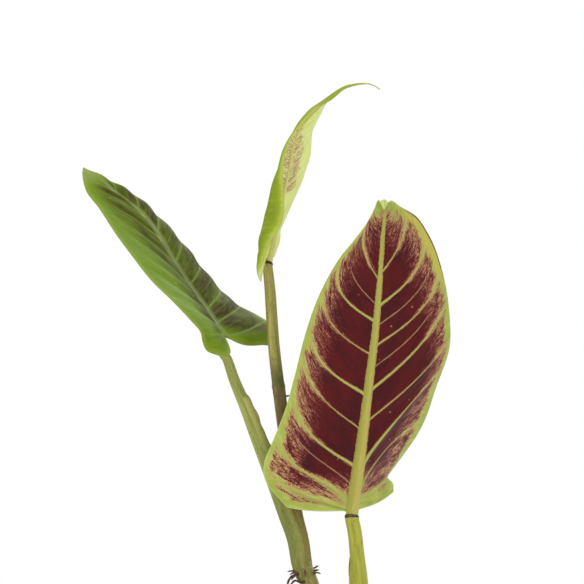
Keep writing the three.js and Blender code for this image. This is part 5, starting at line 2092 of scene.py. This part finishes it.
@dataclass
class Studio:
    """White sweep, soft lights and the camera, in metres and watts."""

    eye: Point = (-0.019, -1.6, 0.333)
    lens: float = 171.5
    sensor: float = 36.0
    clip_end: float = 20.0
    floor_radius: float = 1.35
    floor_fade: Span = (0.35, 0.97)
    white_as_light: float = 0.62
    lights: tuple[tuple[Point, float, float], ...] = (
        ((-1.5, -1.3, 1.5), 1.3, 24.0),
        ((1.6, -1.1, 0.9), 1.2, 12.0),
        ((0.4, 1.5, 1.3), 1.1, 14.0),
    )
    aim: Point = (-0.02, 0.0, 0.28)

    def build(self) -> None:
        """Makes the floor, the lights, the surroundings and the camera."""
        self._add_floor()
        self._add_lights()
        self._add_world()
        self._add_camera()
        bpy.context.scene.view_settings.view_transform = "Standard"

    def _add_floor(self) -> None:
        """Adds a round pale floor that fades into the white around it."""
        shape = bmesh.new()
        bmesh.ops.create_circle(shape, cap_ends=True, segments=96, radius=self.floor_radius)
        floor = add_shape("floor", shape)
        floor.data.materials.append(self._white_floor())

    def _white_floor(self) -> Material:
        """Makes the floor's material, matt white and see-through towards its edge.

        Returns:
            The material.
        """
        material = bpy.data.materials.new("white floor")
        material.use_nodes = True
        graph = NodeGraph(material.node_tree)
        place = graph.place()
        colour = graph.mix(graph.noise(place, 3.0, 3.0), (0.86, 0.86, 0.86), (0.9, 0.9, 0.9))
        plain = graph.add("BsdfDiffuse", Color=colour)
        gone = graph.add("BsdfTransparent")
        away = graph.add("VectorMath", {"operation": "LENGTH"})
        graph.feed(away.inputs[0], place)
        start, end = self.floor_fade
        fade = graph.smooth(away.outputs["Value"], self.floor_radius * start, self.floor_radius * end)
        blend = graph.add("MixShader")
        for socket, value in zip(blend.inputs, (fade, plain.outputs[0], gone.outputs[0])):
            graph.feed(socket, value)
        graph.add("OutputMaterial", Surface=blend.outputs[0])
        return material

    def _add_lights(self) -> None:
        """Adds square soft lights that face the plant."""
        for count, (place, size, power) in enumerate(self.lights):
            lamp = bpy.data.lights.new(f"soft light {count}", "AREA")
            lamp.size = size
            lamp.energy = power
            light = add_object(lamp.name, lamp)
            light.location = place
            away = Vector(self.aim) - Vector(place)
            light.rotation_euler = away.to_track_quat("-Z", "Y").to_euler()

    def _add_world(self) -> None:
        """Surrounds the plant with white, dimmer as a light than it looks."""
        world = bpy.data.worlds.new("white")
        bpy.context.scene.world = world
        world.use_nodes = True
        graph = NodeGraph(world.node_tree)
        seen = graph.add("LightPath").outputs["Is Camera Ray"]
        strength = graph.scaled(seen, self.white_as_light, 1.0)
        back = graph.add("Background", Color=(1.0, 1.0, 1.0), Strength=strength)
        graph.add("OutputWorld", Surface=back.outputs[0])

    def _add_camera(self) -> None:
        """Adds the camera, level, in front of the plant."""
        data = bpy.data.cameras.new("camera")
        data.lens = self.lens
        data.sensor_width = self.sensor
        data.clip_end = self.clip_end
        camera = add_object("camera", data)
        camera.location = self.eye
        camera.rotation_euler = (math.pi / 2, 0, 0)
        bpy.context.scene.camera = camera


def build_leaves(effects: Effects) -> dict[str, Leaf]:
    """Makes the three leaves.

    Args:
        effects: Shared node groups.

    Returns:
        The leaves by name.
    """
    maroon = StreakedUnderside("maroon underside", scorched=(14.0, 66.0))
    maroon_left = StreakedUnderside("left leaf underside", shift=5.0)
    young = StreakedUnderside(
        "young underside", flush=srgb(182, 136, 110), flush_dark=srgb(166, 114, 96),
        flush_bright=srgb(194, 152, 120), blush=srgb(202, 172, 128), tan=srgb(216, 208, 142),
        vein=srgb(220, 220, 146), margin=srgb(218, 230, 138), margin_pale=srgb(230, 238, 160),
        border=(9.0, 14.0), haze=0.6, patchiness=0.25, clean_beyond=(72.0, 82.0), rib_reach=0.4,
        least_pale=0.54, grit=1.5, vein_soft=0.25, thin_strength=0.2, roughness=(0.46, 0.62),
        tip_reach=(52.0, 44.0), tip_tint=srgb(160, 170, 72), tint_reach=(31.0, 24.0), shift=7.0,
    )
    green = GreenUpperside("green upperside")
    hidden_green = GreenUpperside(
        "right leaf upperside", tip_tint=srgb(196, 208, 120), tint_reach=(22.0, 12.0), shift=13.0
    )
    lime = GreenUpperside(
        "young upperside", green=srgb(138, 160, 40), green_bright=srgb(162, 178, 54),
        edge=srgb(184, 196, 92), flush=srgb(92, 108, 34), flush_grey=srgb(112, 122, 50),
        vein=srgb(168, 180, 78), flush_from=(2.0, 7.0), flush_strength=0.4, vein_share=0.24,
        streaking=0.9, tip_tint=srgb(150, 164, 60), tint_reach=(40.0, 24.0), shift=17.0,
    )
    leaves = (
        Leaf(
            "right_leaf", "leaf_right", "maroon_leaf", LEAF_RIGHT, maroon, hidden_green,
            MidribSkin("right midrib", upper=srgb(190, 200, 112)),
            rib_until=0.93,
        ),
        Leaf(
            "left_leaf", "leaf_left", "green_leaf", LEAF_LEFT, maroon_left, green,
            MidribSkin(
                "left midrib", shaded_left_flank=srgb(138, 144, 70), lit_right_flank=srgb(146, 152, 76),
                upper=srgb(122, 142, 84),
            ),
        ),
        Leaf(
            "middle_leaf", "leaf_middle", "young_leaf", LEAF_MIDDLE, young, lime,
            MidribSkin(
                "middle midrib", shaded_left_flank=srgb(204, 192, 122), lit_right_flank=srgb(216, 208, 136),
                tip=srgb(184, 186, 92),
            ),
            joined_tip=False,
            tip_taper=52.0,
        ),
    )
    for leaf in leaves:
        report(leaf.build(effects))
    return {leaf.name: leaf for leaf in leaves}


def build_stalks(effects: Effects, leaves: dict[str, Leaf]) -> None:
    """Makes the three leaf stalks and the stem.

    Args:
        effects: Shared node groups.
        leaves: The leaves that the stalks carry.
    """
    olive = StalkSkin(
        "left stalk skin", fresh=srgb(160, 166, 86), fresh_dark=srgb(138, 144, 66),
        old=srgb(124, 124, 56), old_dark=srgb(98, 102, 40), change=(190, 240), edge=srgb(198, 192, 112),
        edge_share=0.62, edge_from=(0.25, 0.65), edge_below=273.5, stripe_share=0.25, fleck_share=0.2,
        foot=srgb(126, 132, 58), foot_share=0.6,
    )
    speckled = StalkSkin(
        "middle stalk skin", fresh=srgb(176, 168, 90), fresh_dark=srgb(150, 142, 72),
        old=srgb(138, 116, 70), old_dark=srgb(106, 88, 50), change=(278.4, 279.4),
        edge=srgb(108, 78, 56), edge_facing=-1.0, edge_share=0.45, stripe_share=0.25, fleck_share=0.6,
        waver=0.0004, shade_from=(300, 281), foot=srgb(142, 128, 58), foot_share=0.85, shift=4.0,
    )
    bright = StalkSkin(
        "right stalk skin", fresh=srgb(172, 172, 62), fresh_dark=srgb(150, 150, 50),
        old=srgb(166, 164, 64), old_dark=srgb(136, 130, 48), change=(110, 150), edge=srgb(186, 182, 92),
        edge_share=0.4, stripe_share=0.25, fleck_share=0.25, shift=6.0,
    )
    bark = StalkSkin(
        "stem skin", fresh=srgb(140, 136, 66), fresh_dark=srgb(110, 106, 48), old=srgb(140, 126, 66),
        old_dark=srgb(98, 82, 44), change=(120, 165), edge=srgb(196, 186, 132), edge_share=0.4,
        stripe=srgb(216, 206, 158), stripe_share=0.5, shift=8.0,
    )
    stalks = (
        Stalk(
            "right_stalk", "petiole_right", "stalk",
            (
                (6.5, -9.5, 84, 5), (7.5, -11, 104, 5), (10.5, -14.5, 120, 4.9),
                (15.5, -19.5, 138, 4.7), (19.4, -22.8, 153, 4.7), (19.5, -24.2, 167, 4.7),
                (17.9, -25, 184, 4.2), (16.5, -25.7, 197, 4.05),
            ),
            bright,
            top=leaves["right_leaf"].foot(),
            top_radius=3.9,
            wing=Wing(180, 184, 1.3, ragged=0.12, rise=10.0, body=srgb(188, 190, 96), dry=srgb(176, 172, 92)),
        ),
        Stalk(
            "left_stalk", "petiole_left", "stalk",
            (
                (-12.2, -0.6, 169, 3.9), (-14.5, -1, 175.5, 4.55), (-17.1, -1.6, 191, 4.9),
                (-22, -2.4, 204.5, 4.7), (-33.1, -3.6, 236, 4.8), (-38, -4.3, 248.5, 4.5),
                (-45, -5.4, 266, 3.7), (-52, -6.6, 282.5, 3.1), (-56.4, -7.7, 295, 2.8),
            ),
            olive,
            top=leaves["left_leaf"].foot(),
            top_radius=2.6,
            wing=Wing(-15, 273.4, 0.65, rise=1.5, full_above=246, ragged=0.6),
        ),
        Stalk(
            "middle_stalk", "petiole_middle", "stalk",
            (
                (-9.8, 0.4, 169, 3.8), (-11.3, 0.4, 175.5, 4.15), (-13.2, 0, 190, 4),
                (-16.6, -0.5, 205, 3.9), (-21, -1.2, 236, 3.8), (-25.6, -2, 270, 3.7),
                (-29.4, -2.9, 302, 3.35), (-31.6, -3.7, 334, 3.2),
            ),
            speckled,
            top=leaves["middle_leaf"].foot(),
            top_radius=2.75,
            rings=((279, 0.35, 0.9), (276.5, 0.12, 3.0)),
            stub=((-24, -2, 273.2), (-21.6, -2.4, 273.3), (-20.6, -2.5, 273.6)),
        ),
        Stalk(
            "main_stem", "stem", "stem_skin",
            (
                (1, 1, 82, 5.8), (0.3, 1, 104, 5.9), (-1.5, 0.5, 130, 5.5), (-4.6, 0, 150, 5.2),
                (-8.8, 0, 165, 5.2), (-10.9, 0, 170, 5.4), (-12.3, 0, 173.5, 5.7),
                (-13, -0.3, 178, 4.9),
            ),
            bark,
            rings=((171.6, 0.5, 1.8), (132, 0.3, 1.6)),
            stub=((-11.6, -4.9, 173.4), (-11.4, -5.9, 171.8), (-11.2, -5.3, 170.4)),
            ribbing=0.12,
        ),
    )
    for stalk in stalks:
        report(stalk.build(effects))


def report(piece: Piece) -> None:
    """Writes a line on a finished piece to the log."""
    LOG.info("%s: %d vertices, %d faces", piece.name, len(piece.data.vertices), len(piece.data.polygons))


def main() -> None:
    """Builds the studio and every piece of the plant in order."""
    logging.basicConfig(level=logging.INFO, format="%(name)s: %(message)s")
    Studio().build()
    effects = Effects()
    leaves = build_leaves(effects)
    build_stalks(effects, leaves)
    report(AerialRoots().build(effects))
    report(PottingMix().build(effects))
    report(ClayPot().build(effects))


if __name__ == "__main__":
    main()
